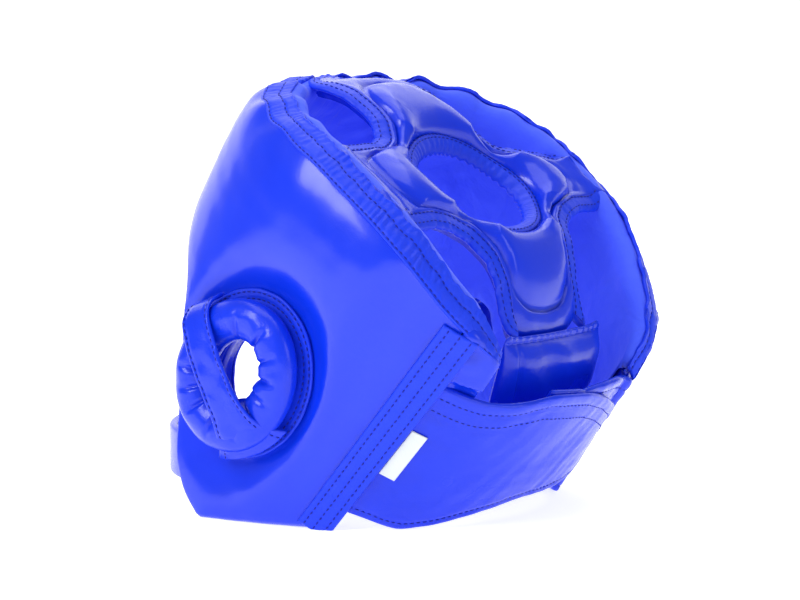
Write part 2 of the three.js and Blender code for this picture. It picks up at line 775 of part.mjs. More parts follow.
function buildVentBinding() {
  const rings = [];
  const steps = 32;
  for (let i = 0; i < steps; i += 1) {
    const angle = (360 * i) / steps;
    rings.push(ellipseSection(8, (c, s) => {
      const margin = (VENT_BINDING_WIDTH / 2) * (1 + c);
      const lift = (VENT_BINDING_THICKNESS / 2) * s + VENT_BINDING_SLOPE * (0.5 * c - 0.5);
      return crownPoint(angle, ventRadius(angle, margin), lift - VENT_BINDING_THICKNESS / 2 - 1);
    }));
  }
  addPiece('crown_hole_binding', loft(rings, true), tape);
}

// Rolled binding along one notch of the cross, from arm end to arm end
function buildEdgeBinding(side, from, to, name) {
  const steps = 16;
  const offset = EDGE_BINDING_WIDTH / 2 + 4 * CLEARANCE;
  const edgeAt = (share) => {
    const angle = mix(from, to, share);
    const turned = side === LEFT ? angle : 180 - angle;
    return crownPoint(turned, crossEdge(turned), 0);
  };
  const rings = [];
  for (let i = 0; i <= steps; i += 1) {
    const share = i / steps;
    const before = edgeAt(Math.max(share - 0.02, 0));
    const after = edgeAt(Math.min(share + 0.02, 1));
    const run = after.clone().sub(before).setZ(0).normalize();
    const away = new THREE.Vector3(side * run.y, -side * run.x, 0);
    const centre = edgeAt(share).addScaledVector(away, offset);
    const z = crownHeight(centre.x, centre.y) - EDGE_BINDING_WIDTH / 2;
    rings.push(ellipseSection(8, (c, s) => new THREE.Vector3(
      centre.x + away.x * c * (EDGE_BINDING_WIDTH / 2),
      centre.y + away.y * c * (EDGE_BINDING_WIDTH / 2),
      z + s * (EDGE_BINDING_WIDTH / 2),
    )));
  }
  addPiece(name, loft(rings, false), tape);
}

function buildTab() {
  const steps = 12;
  const armEnd = VENT_CENTRE_Y + crossEdge(90);
  const topZ = crownHeight(0, armEnd) + TAB_RISE;
  const topY = armEnd - TAB_LAP - (TAB_RISE + CROWN_THICKNESS * 0.3) * Math.tan(TAB_TILT);
  const rings = [];
  for (let i = 0; i <= steps; i += 1) {
    const across = mix(-1, 1, i / steps);
    const x = (across * TAB_WIDTH) / 2;
    const ends = Math.sqrt(1 - 0.75 * across ** 8);
    rings.push(ellipseSection(12, (c, s) => {
      const square = (value) => Math.sign(value) * Math.abs(value) ** 0.5;
      const down = (TAB_LENGTH / 2) * (1 - square(s) * ends);
      const out = (TAB_THICKNESS / 2) * (1 + square(c) * ends) - TAB_CURL * across ** 2;
      const y = topY + out * Math.cos(TAB_TILT) + down * Math.sin(TAB_TILT);
      const z = topZ + out * Math.sin(TAB_TILT) - down * Math.cos(TAB_TILT);
      return new THREE.Vector3(x, y, z);
    }));
  }
  addPiece('rear_tab', loft(rings, false), vinyl);
}

const EAR_FLANGE_X = EAR_SEAT_X + CLEARANCE;
const EAR_RING_X = EAR_FLANGE_X + EAR_FLANGE_THICKNESS + CLEARANCE;

function earPoint(side, out, back, up) {
  return new THREE.Vector3(side * out, EAR_Y + back, EAR_Z + up);
}

function aroundEar(side, out, radius, turn) {
  return earPoint(side, out, radius * Math.cos(turn), (radius + EAR_STRETCH) * Math.sin(turn));
}

function buildFlange(side, name) {
  const steps = 28;
  const inner = EAR_HOLE_RADIUS - 2;
  const rings = [];
  for (let i = 0; i < steps; i += 1) {
    const turn = (2 * Math.PI * i) / steps;
    const point = (radius, out) => aroundEar(side, out, radius, turn);
    const outer = EAR_FLANGE_X + EAR_FLANGE_THICKNESS;
    rings.push([
      point(inner, EAR_FLANGE_X),
      point(EAR_FLANGE_RADIUS, EAR_FLANGE_X),
      point(EAR_FLANGE_RADIUS, outer),
      point(inner, outer),
    ]);
  }
  addPiece(name, loft(rings, true), tape);
}

function buildEarRing(side, name) {
  const steps = 4 * EAR_RING_PLEATS;
  const half = EAR_RING_HEIGHT / 2;
  const rings = [];
  for (let i = 0; i < steps; i += 1) {
    const turn = (2 * Math.PI * i) / steps;
    const pleat = i % 4 === 0 ? EAR_RING_PLEAT_DEPTH : 0;
    rings.push(ellipseSection(9, (c, s) => {
      const pinch = pleat * Math.max(-c, 0);
      const radius = EAR_RING_RADIUS + (EAR_RING_WIDTH / 2 - pinch) * c;
      return aroundEar(side, EAR_RING_X + half + (half - pinch) * s, radius, turn);
    }));
  }
  addPiece(name, loft(rings, true), vinyl);
}

function buildEarStrap(side, name) {
  const steps = 14;
  const rows = STRAP_ROWS.map((row, n) => ({ ...row, n }));
  const last = rows.length - 1;
  const middle = (n) => new THREE.Vector3(
    EAR_RING_X + EAR_RING_HEIGHT * along(rows, 'n', 'out', n),
    EAR_FLANGE_RADIUS * along(rows, 'n', 'back', n),
    EAR_FLANGE_RADIUS * along(rows, 'n', 'up', n),
  );
  const span = middle(last).sub(middle(0)).setX(0).normalize();
  const across = new THREE.Vector3(0, -span.z, span.y);
  const rings = [];
  for (let i = 0; i <= steps; i += 1) {
    const n = (last * i) / steps;
    const run = middle(Math.min(n + 0.1, last)).sub(middle(Math.max(n - 0.1, 0))).normalize();
    const out = across.clone().cross(run).normalize();
    out.multiplyScalar(Math.sign(out.x) || 1);
    const flare = along(rows, 'n', 'flare', n);
    const half = (EAR_STRAP_WIDTH / 2) * flare;
    const bow = EAR_TAIL_BOW * Math.max(flare - 1.1, 0);
    const corner = (sideways, height) => {
      const p = middle(n).addScaledVector(across, sideways * half).addScaledVector(out, height);
      p.addScaledVector(span, bow * (1 - Math.abs(sideways)));
      return earPoint(side, p.x, p.y, p.z);
    };
    const top = EAR_STRAP_THICKNESS;
    rings.push([corner(-1, 0), corner(0, 0), corner(1, 0), corner(1, top), corner(0, top), corner(-1, top)]);
  }
  addPiece(name, loft(rings, false), vinyl);
}

// The chin strap lies level where the guard rests, so it is laid out from the floor
function buildChinStrap() {
  const inset = PAD_THICKNESS + 2 * CLEARANCE + LINING_THICKNESS;
  const half = HALF_WIDTH - inset - CLEARANCE - CHIN_STRAP_THICKNESS / 2;
  const steps = 20;
  const path = [];
  for (let i = 0; i <= steps; i += 1) {
    const turn = mix(-Math.PI / 2, Math.PI / 2, i / steps);
    path.push([half * Math.sin(turn), CHIN_STRAP_START - CHIN_STRAP_REACH * Math.cos(turn)]);
  }
  path.unshift([-half, CHIN_STRAP_START + CHIN_STRAP_SEWN]);
  path.push([half, CHIN_STRAP_START + CHIN_STRAP_SEWN]);
  const place = (x, y, z) => new THREE.Vector3(x, y, z - EAR_LINE_HEIGHT)
    .applyAxisAngle(new THREE.Vector3(1, 0, 0), LEAN);
  const rings = path.map((point, i) => {
    const before = path[Math.max(i - 1, 0)];
    const after = path[Math.min(i + 1, path.length - 1)];
    const run = new THREE.Vector2(after[0] - before[0], after[1] - before[1]).normalize();
    return ellipseSection(8, (c, s) => place(
      point[0] - run.y * c * (CHIN_STRAP_THICKNESS / 2),
      point[1] + run.x * c * (CHIN_STRAP_THICKNESS / 2),
      CHIN_STRAP_HEIGHT + s * (CHIN_STRAP_WIDTH / 2),
    ));
  });
  addPiece('chin_strap', loft(rings, false), vinyl);
}

buildShell();
buildLining();
buildTopBinding();
buildCrown();
buildVentBinding();
buildTab();
buildChinStrap();
buildLabel();
[[LEFT, 'left'], [RIGHT, 'right']].forEach(([side, word]) => {
  buildFlap(side, `rear_flap_${word}`);
  buildStrip(side, `seam_strip_${word}`);
  buildBand(side, `closure_band_${word}`);
  const frontEnd = side === LEFT ? FRONT_NOTCH.to : FRONT_NOTCH.to + RIGHT_ARM_TURN;
  buildEdgeBinding(side, FRONT_NOTCH.from, frontEnd, `crown_edge_front_${word}`);
  buildEdgeBinding(side, REAR_NOTCH.from, REAR_NOTCH.to, `crown_edge_rear_${word}`);
  buildFlange(side, `ear_flange_${word}`);
  buildEarRing(side, `ear_ring_${word}`);
  buildEarStrap(side, `ear_strap_${word}`);
});

// The origin lies on the floor, under the middle of the bounding box
const scene = new THREE.Group();
scene.add(guard);
const bounds = new THREE.Box3().setFromObject(scene, true);
guard.position.y -= (bounds.min.y + bounds.max.y) / 2;
export default scene;
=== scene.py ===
"""Looks of a martial arts head guard in blue vinyl foam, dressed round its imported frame.

Shapes are worked out in the wearer's frame in millimetres.
+X is at the left ear, +Y at the back and +Z at the crown.
"""

from __future__ import annotations

import logging
import math
from dataclasses import dataclass
from enum import Enum
from typing import Sequence

import bmesh
import bpy
import numpy as np
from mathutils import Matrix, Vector


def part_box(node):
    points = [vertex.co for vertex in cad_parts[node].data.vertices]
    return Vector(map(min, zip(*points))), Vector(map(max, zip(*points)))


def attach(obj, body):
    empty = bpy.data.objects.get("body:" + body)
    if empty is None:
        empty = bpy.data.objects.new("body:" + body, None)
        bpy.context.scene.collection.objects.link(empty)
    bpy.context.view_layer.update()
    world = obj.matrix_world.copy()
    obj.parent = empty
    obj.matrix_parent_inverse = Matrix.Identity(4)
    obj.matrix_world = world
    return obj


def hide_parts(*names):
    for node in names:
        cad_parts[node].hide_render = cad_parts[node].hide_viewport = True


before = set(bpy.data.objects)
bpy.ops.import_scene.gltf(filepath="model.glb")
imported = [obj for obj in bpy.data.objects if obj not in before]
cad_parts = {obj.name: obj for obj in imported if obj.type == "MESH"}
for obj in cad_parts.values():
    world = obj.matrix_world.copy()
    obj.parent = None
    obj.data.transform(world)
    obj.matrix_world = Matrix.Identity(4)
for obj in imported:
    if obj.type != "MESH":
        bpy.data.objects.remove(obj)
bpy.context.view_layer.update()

LOG = logging.getLogger("head_guard")
MM = 0.001

HALF_WIDTH = 112.0
FRONT_REACH, REAR_REACH = 108.0, 135.0
OVAL_SHIFT = -8.0
FRONT_FULLNESS, REAR_FULLNESS = 2.3, 2.7
LEAN = math.radians(35.7)
EAR_LINE = 83.4
GAP = 0.3
PAD = 18.0
RIM = 115.0
BEVEL_WIDTH, BEVEL_RISE = 12.0, 8.0
SEAM_TOP, SEAM_FOOT = 40.0, 35.2
EAR_Y, EAR_Z, EAR_STRETCH = 0.5, -4.0, 5.5
FLANGE_RADIUS = 41.5
FLAP_END_DEPTH = 8.0
BAND_TOP = 64.0
BAND_THICKNESS = 3.5
DEGREES_PER_MM = 180 / (math.pi * REAR_REACH)
# Pairs of inset and rise over the rim, in mm: the pad's bevelled lip, and the lining's turned edge
PAD_LIP = ((4, 2.7), (8, 5.3), (12, 8), (15, 7.6), (17.6, 6))
LINING_LIP = ((18.2, 7.2), (16.6, 8.9), (14.4, 9.3), (12, 8.8), (10.6, 7.8))
# Radii of the ear flange's stitch rows in mm
FLANGE_ROWS = (36.2, 39.6)
EAR_HOLE = 20.0
# Depth of the flaps' foot under the ear line, as a share of BAND_TOP
FLAP_FOOT = 0.3


class Side(Enum):
    """The two sides of the wearer's head."""

    LEFT = 1
    RIGHT = -1

    @property
    def word(self) -> str:
        """The side's name as the frame's nodes have it."""
        return self.name.lower()


# Where each rear flap ends, in degrees
FLAP_END = {Side.LEFT: 50.8, Side.RIGHT: 58.0}


def mix(a: np.ndarray | float, b: np.ndarray | float, share: np.ndarray | float) -> np.ndarray:
    """Value between a and b at a share of the way."""
    return a + (b - a) * np.asarray(share, float)


def ramp(start: float, end: float, value: np.ndarray | float) -> np.ndarray:
    """Smooth step from 0 at start to 1 at end."""
    t = np.clip((np.asarray(value, float) - start) / (end - start), 0, 1)
    return t * t * (3 - 2 * t)


def bump(value: np.ndarray | float, centre: float, width: float) -> np.ndarray:
    """Bell curve of height 1."""
    return np.exp(-(((np.asarray(value, float) - centre) / width) ** 2))


class Curve:
    """Smooth curve through a table's two columns, without overshoot."""

    def __init__(self, rows: Sequence[tuple[float, float]]) -> None:
        """Args: rows: pairs of place and value, in rising order of place."""
        self.x, self.y = np.array(rows, float).T
        step = np.diff(self.y) / np.diff(self.x)
        a, b = np.r_[step[:1], step], np.r_[step, step[-1:]]
        total = np.where(a + b == 0, 1, a + b)
        self.m = np.where(a * b > 0, 2 * a * b / total, 0)

    def __call__(self, at: np.ndarray | float) -> np.ndarray:
        """Value at a place, held level past both ends."""
        at = np.clip(np.asarray(at, float), self.x[0], self.x[-1])
        i = np.clip(np.searchsorted(self.x, at, "right") - 1, 0, len(self.x) - 2)
        w = self.x[i + 1] - self.x[i]
        t = (at - self.x[i]) / w
        rise = mix(self.y[i], self.y[i + 1], t * t * (3 - 2 * t))
        return rise + (t - 1) ** 2 * t * w * self.m[i] + (t - 1) * t * t * w * self.m[i + 1]


# Rim height by the angle round the oval, as a share of RIM
RIM_CURVE = Curve([
    (-90, .85), (-70, .87), (-50, .92), (-32, .96), (-9, 1), (7, .99), (21, .95), (35, .86), (50, .76)])
# Shell columns by their rim angle: foot angle, and foot height as a share of RIM
COLUMN_FOOT = Curve([
    (-90, -90), (-75, -76), (-62, -64), (-50, -55), (-42, -46), (-34, -37), (-27, -29), (-20, -22),
    (-13, -15), (-7, -8), (-2, -1), (4, 6), (10, 13), (18, 20), (28, 28), (SEAM_TOP, SEAM_FOOT)])
COLUMN_HEIGHT = Curve([
    (-90, .17), (-75, .17), (-62, .17), (-50, .165), (-42, .145), (-34, .1), (-27, .03), (-20, -.12),
    (-13, -.3), (-7, -.48), (-2, -.63), (4, -.73), (10, -.78), (18, -.9), (28, -.9), (SEAM_TOP, -.9)])
# Closure band: top and bottom edges as shares of BAND_TOP
BAND_UP = Curve([
    (34, .97), (43, .97), (50, .98), (56, 1.02), (61, 1.07), (72, 1.16), (86, 1.14), (100, 1.03),
    (108, .92), (113, .84), (116, .72), (117, .62)])
BAND_LOW = Curve([
    (34, -.5), (43, -.44), (50, -.42), (56, -.33), (61, -.24), (72, -.1), (86, -.02), (100, 0),
    (108, .02), (113, .03), (116, .1), (117, .2)])
# Crown height in mm along the head, and along the side arms
SPINE = Curve([
    (-100, 110.4), (-86, 119.7), (-70, 124), (-50, 124.6), (-32, 122.1), (0, 119), (30, 117.8),
    (44, 114.7), (56, 107.9), (68, 98), (78, 88.7), (87, 80.6)])
ARM = Curve([
    (33.6, 120.3), (60.5, 121), (85.1, 120.5), (93, 119)])
# Outline of the cross by direction from the vent, as shares of the way to the pad: edge, and groove
CROSS_EDGE = Curve([
    (-90, 1), (-81, 1), (-73, 1), (-68, .8), (-62, .64), (-54, .56), (-44, .53), (-34, .58), (-26, .72),
    (-16, 1), (-2, 1), (12, 1), (18, .74), (28, .58), (40, .52), (53, .545), (62, .62), (69, .76),
    (80, .78), (90, .785)])
CROSS_GROOVE = Curve([
    (-90, .84), (-81, .83), (-73, .76), (-68, .68), (-62, .57), (-54, .5), (-44, .48), (-34, .53),
    (-26, .64), (-16, .8), (-2, .83), (12, .78), (18, .67), (28, .52), (40, .47), (53, .49), (62, .55),
    (69, .64), (80, .69), (90, .7)])


def oval(angle: np.ndarray | float, outset: np.ndarray | float) -> tuple[np.ndarray, np.ndarray]:
    """Point on the guard's plan oval.

    Args:
        angle: degrees from +X toward +Y.
        outset: distance outside the oval in mm.

    Returns:
        The x and y of the point.
    """
    turn = np.radians(np.asarray(angle, float))
    across, back = np.cos(turn), np.sin(turn)
    full = np.where(back < 0, FRONT_FULLNESS, REAR_FULLNESS)
    reach = np.where(back < 0, FRONT_REACH, REAR_REACH)
    radius = (np.abs(across) ** full + np.abs(back) ** full) ** (-1 / full)
    return (HALF_WIDTH + outset) * radius * across, OVAL_SHIFT + (reach + outset) * radius * back


def floor_under(y: np.ndarray | float) -> np.ndarray:
    """Height of the floor under a place along the head."""
    return (np.asarray(y, float) * math.sin(LEAN) - EAR_LINE) / math.cos(LEAN)


def rim_height(angle: np.ndarray | float) -> np.ndarray:
    """Height of the rim at an angle, with the brow's ripple."""
    fade = 1 - ramp(-40, -5, angle)
    return RIM * RIM_CURVE(angle) + 1.6 * fade * np.cos(np.radians(np.asarray(angle) + 90) * 22)


def seam_angle(z: np.ndarray | float) -> np.ndarray:
    """Angle of the leaning back seam at a height."""
    foot = floor_under(oval(SEAM_FOOT, 0)[1])
    return mix(SEAM_FOOT, SEAM_TOP, (np.asarray(z) - foot) / (rim_height(SEAM_TOP) - foot))


SHIFT = EAR_Y * math.cos(LEAN) + EAR_Z * math.sin(LEAN) - sum(c.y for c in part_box("ear_flange_left")) / 2 / MM


def at_rest(points: np.ndarray) -> np.ndarray:
    """Points of the wearer's frame in mm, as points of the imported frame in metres."""
    x, y, z = np.moveaxis(np.asarray(points, float), -1, 0)
    c, s = math.cos(LEAN), math.sin(LEAN)
    return np.stack([x, y * c + z * s - SHIFT, z * c - y * s + EAR_LINE], -1) * MM


def spread(count: int, edges: float = 0.5) -> np.ndarray:
    """Shares from 0 to 1, closer together at both ends.

    Args:
        count: how many shares.
        edges: 0 for even steps and 1 for the closest ends.
    """
    even = np.linspace(0, 1, count)
    return mix(even, 0.5 - 0.5 * np.cos(np.pi * even), edges)


def wander(points: np.ndarray, size: float, seed: int, waves: int = 10) -> np.ndarray:
    """Smooth pseudo-random field of about -1 to 1, the same at each run.

    Args:
        points: places in mm.
        size: usual distance between crests in mm.
        seed: fixed seed.
        waves: how many waves are summed.
    """
    rng = np.random.default_rng(seed)
    ways = rng.normal(size=(waves, 3))
    pace = 2 * np.pi / size * rng.uniform(0.6, 1.5, (waves, 1))
    ways *= pace / np.linalg.norm(ways, axis=1, keepdims=True)
    return np.sin(points @ ways.T + rng.uniform(0, 2 * np.pi, waves)).sum(-1) / math.sqrt(waves)


def unit(v: np.ndarray) -> np.ndarray:
    """Vectors of length 1."""
    return v / np.maximum(np.linalg.norm(v, axis=-1, keepdims=True), 1e-9)


def slopes(grid: np.ndarray, axis: int, closed: bool) -> np.ndarray:
    """Steps along one axis of a grid, round the join where it is closed."""
    if closed:
        return (np.roll(grid, -1, axis) - np.roll(grid, 1, axis)) / 2
    return np.gradient(grid, axis=axis)


def lengths(grid: np.ndarray, axis: int) -> np.ndarray:
    """Distance along one axis of a grid, from its start."""
    step = np.linalg.norm(np.diff(grid, axis=axis), axis=-1)
    start = np.zeros_like(np.take(step, [0], axis))
    return np.concatenate([start, np.cumsum(step, axis)], axis)


def rounded(distance: np.ndarray, radius: float) -> np.ndarray:
    """Share of the full thickness at a distance from a rounded edge."""
    return np.sqrt(np.clip(1 - (1 - np.clip(distance / radius, 0, 1)) ** 2, 0, 1))


def new_object(name: str, points: np.ndarray, faces: list, uv: np.ndarray | None = None) -> bpy.types.Object:
    """Mesh object at the origin, closed and facing outwards.

    Args:
        name: name of the piece.
        points: vertices in the wearer's frame, in mm.
        faces: vertex numbers of each face.
        uv: place of each vertex on its cloth, in mm.

    Returns:
        The new object, in the scene.
    """
    mesh = bpy.data.meshes.new(name)
    mesh.from_pydata(at_rest(points.reshape(-1, 3)).tolist(), [], faces)
    if uv is not None:
        layer = mesh.uv_layers.new(name="cloth_mm")
        flat = uv.reshape(-1, 2)
        index = np.zeros(len(mesh.loops), int)
        mesh.loops.foreach_get("vertex_index", index)
        layer.data.foreach_set("uv", flat[index].astype(np.float32).ravel())
    work = bmesh.new()
    work.from_mesh(mesh)
    bmesh.ops.remove_doubles(work, verts=work.verts, dist=2e-6)
    if work.calc_volume(signed=True) < 0:
        bmesh.ops.reverse_faces(work, faces=work.faces)
    work.to_mesh(mesh)
    work.free()
    mesh.polygons.foreach_set("use_smooth", [True] * len(mesh.polygons))
    made = bpy.data.objects.new(name, mesh)
    bpy.context.scene.collection.objects.link(made)
    return made


def grid_faces(nu: int, nv: int, closed_u: bool, closed_v: bool, start: int = 0, flip: bool = False) -> list:
    """Quads of a grid of vertices, numbered row by row."""
    faces = []
    for i in range(nu if closed_u else nu - 1):
        for j in range(nv if closed_v else nv - 1):
            a, b = start + i * nv + j, start + ((i + 1) % nu) * nv + j
            c, d = start + ((i + 1) % nu) * nv + (j + 1) % nv, start + i * nv + (j + 1) % nv
            faces.append((a, d, c, b) if flip else (a, b, c, d))
    return faces


@dataclass
class Panel:
    """A padded or flat panel: a middle surface with its thickness above and below.

    Attributes:
        mid: grid of points, along and across.
        up: thickness over the middle surface, 0 at each open edge.
        down: thickness under it.
        closed: True for a panel that runs round into itself.
    """

    mid: np.ndarray
    up: np.ndarray
    down: np.ndarray
    closed: bool = False

    def normals(self) -> np.ndarray:
        """Direction of the upper face at each point."""
        return unit(np.cross(slopes(self.mid, 0, self.closed), slopes(self.mid, 1, False)))

    def top(self) -> np.ndarray:
        """Grid of the upper face."""
        return self.mid + self.normals() * self.up[..., None]

    def row(self, share: float, lift: float = 0.0, start: float = 0.0, end: float = 1.0) -> np.ndarray:
        """Line along the panel on its upper face.

        Args:
            share: place across, from 0 to 1 by grid rows.
            lift: height over the face in mm.
            start: share along at which it starts.
            end: share along at which it ends.
        """
        face = self.top() + self.normals() * lift
        at = share * (face.shape[1] - 1)
        i = min(int(at), face.shape[1] - 2)
        line = mix(face[:, i], face[:, i + 1], at - i)
        count = len(line) - 1
        return line[round(start * count): round(end * count) + 1]

    def build(self, name: str) -> bpy.types.Object:
        """Makes the closed mesh."""
        normal = self.normals()
        top = self.mid + normal * self.up[..., None]
        bottom = self.mid - normal * self.down[..., None]
        nu, nv = self.mid.shape[:2]
        faces = grid_faces(nu, nv, self.closed, False)
        faces += grid_faces(nu, nv, self.closed, False, nu * nv, True)
        uv = np.stack([lengths(self.mid, 0), lengths(self.mid, 1)], -1)
        return new_object(name, np.stack([top, bottom]), faces, np.stack([uv, uv]))


def tube(name: str, rings: np.ndarray, closed: bool) -> bpy.types.Object:
    """Closed mesh through section rings, with flat ends where it doesn't close."""
    nu, nv = rings.shape[:2]
    faces = grid_faces(nu, nv, closed, True)
    points = rings.reshape(-1, 3)
    uv = np.stack([lengths(rings, 0), lengths(rings, 1)], -1).reshape(-1, 2)
    if not closed:
        faces += [tuple(range(nv))[::-1], tuple(range((nu - 1) * nv, nu * nv))]
    return new_object(name, points, faces, uv)


def linear(colour: int) -> tuple[float, float, float, float]:
    """An sRGB hex colour as Blender's linear one."""
    parts = [((colour >> shift) & 255) / 255 for shift in (16, 8, 0)]
    return (*[p / 12.92 if p <= 0.04045 else ((p + 0.055) / 1.055) ** 2.4 for p in parts], 1.0)


def add(tree: bpy.types.NodeTree, kind: str, links: dict | None = None, **settings: object) -> bpy.types.Node:
    """Adds a node.

    Args:
        tree: the node tree.
        kind: the node's type name.
        links: socket name or number to a value, or to an output socket to link.
        settings: properties of the node.

    Returns:
        The new node.
    """
    node = tree.nodes.new(kind)
    for key, value in settings.items():
        setattr(node, key, value)
    for key, value in (links or {}).items():
        if isinstance(value, bpy.types.NodeSocket):
            tree.links.new(value, node.inputs[key])
        else:
            node.inputs[key].default_value = value
    return node


@dataclass(frozen=True)
class Finish:
    """A finish of the guard's skins.

    Attributes:
        name: the real material.
        colour: sRGB colour of a lit face.
        shade: sRGB colour of the darker patches.
        roughness: of the skin.
        grain_mm: size of the embossed grain.
        grain_depth: bump of the grain in mm.
        crease_mm: size of the soft creases.
        crease_depth: bump of the creases in mm.
        coat: weight of the clear top coat.
        sheen: weight of the cloth's sheen.
    """

    name: str
    colour: int
    shade: int
    roughness: float
    grain_mm: float
    grain_depth: float
    crease_mm: float
    crease_depth: float
    coat: float = 0.0
    sheen: float = 0.0

    def material(self) -> bpy.types.Material:
        """Builds the node material, or finds the one built before."""
        made = bpy.data.materials.get(self.name)
        if made:
            return made
        made = bpy.data.materials.new(self.name)
        made.use_nodes = True
        tree = made.node_tree
        tree.nodes.clear()
        place = add(tree, "ShaderNodeTexCoord").outputs["Object"]
        patch = add(tree, "ShaderNodeTexNoise", {"Vector": place, "Scale": 1 / (30 * MM), "Detail": 3.0})
        tone = add(tree, "ShaderNodeMix", {
            0: patch.outputs["Fac"], 6: linear(self.shade), 7: linear(self.colour)}, data_type="RGBA")
        cells = add(tree, "ShaderNodeTexVoronoi", {"Vector": place, "Scale": 1 / (self.grain_mm * MM)},
                    feature="SMOOTH_F1")
        folds = add(tree, "ShaderNodeTexNoise", {
            "Vector": place, "Scale": 1 / (self.crease_mm * MM), "Detail": 4.0, "Distortion": 0.6})
        soft = add(tree, "ShaderNodeBump", {
            "Height": folds.outputs["Fac"], "Distance": self.crease_depth * MM, "Strength": 1.0})
        fine = add(tree, "ShaderNodeBump", {
            "Height": cells.outputs["Distance"], "Distance": self.grain_depth * MM, "Strength": 1.0,
            "Normal": soft.outputs["Normal"]})
        worn = add(tree, "ShaderNodeMapRange", {
            "Value": patch.outputs["Fac"], "To Min": self.roughness - 0.05, "To Max": self.roughness + 0.05})
        skin = add(tree, "ShaderNodeBsdfPrincipled", {
            "Base Color": tone.outputs[2], "Roughness": worn.outputs["Result"],
            "Normal": fine.outputs["Normal"], "IOR": 1.37, "Coat Weight": self.coat, "Coat Roughness": 0.12,
            "Sheen Weight": self.sheen, "Sheen Roughness": 0.5})
        add(tree, "ShaderNodeOutputMaterial", {"Surface": skin.outputs[0]})
        return made


# Smooth glossy vinyl over foam: broad soft highlights, hardly any grain
VINYL = Finish("glossy_blue_vinyl", 0x0A36E2, 0x082ED0, 0.25, 0.8, 0.035, 9, 0.12, coat=0.3)
# The same vinyl where the hand has creased it, as on bands and straps
SOFT_VINYL = Finish("creased_blue_vinyl", 0x0C37E2, 0x0A2ED0, 0.26, 0.8, 0.03, 7, 0.3, coat=0.15)
# Bias-cut binding tape: satin, crinkled across its width
TAPE = Finish("satin_blue_binding", 0x143EEC, 0x1034D6, 0.45, 0.9, 0.05, 4, 0.35)
# Soft lining skin: paler and matte, with long wrinkles
LINING = Finish("soft_blue_lining", 0x4A66FF, 0x3C56F8, 0.75, 1.0, 0.04, 20, 2.4, sheen=0.1)
# Waxed sewing thread, darker blue than the vinyl: partly the thread's own colour and partly painted shade of
# the dents that the stitches sit in, so the rows read as dashes
THREAD = Finish("thread_with_painted_dent_shade", 0x0E1A8E, 0x1624A0, 0.6, 0.5, 0.02, 3, 0.05)
# Woven label in white polyester satin
LABEL = Finish("white_woven_label", 0xE6EBEB, 0xD6DEDE, 0.75, 0.6, 0.05, 5, 0.2, sheen=0.1)


class Dresser:
    """Puts finished pieces on the frame and collects the stitch lines."""

    def __init__(self) -> None:
        """Starts with no stitch lines."""
        self.rows: dict[str, list[np.ndarray]] = {}

    def fit(self, piece: bpy.types.Object, finish: Finish, nodes: Sequence[str]) -> bpy.types.Object:
        """Gives a piece its finish and its body, and hides the CAD nodes that it stands for.

        Args:
            piece: the finished mesh.
            finish: its material.
            nodes: CAD nodes that it replaces.

        Returns:
            The piece.
        """
        piece.data.materials.clear()
        piece.data.materials.append(finish.material())
        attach(piece, "root")
        if nodes:
            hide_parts(*nodes)
        LOG.info("%s: %d faces", piece.name, len(piece.data.polygons))
        return piece

    def sew(self, owner: str, *lines: np.ndarray) -> None:
        """Keeps stitch lines, in mm, for the piece that they are sewn through."""
        self.rows.setdefault(owner, []).extend(lines)


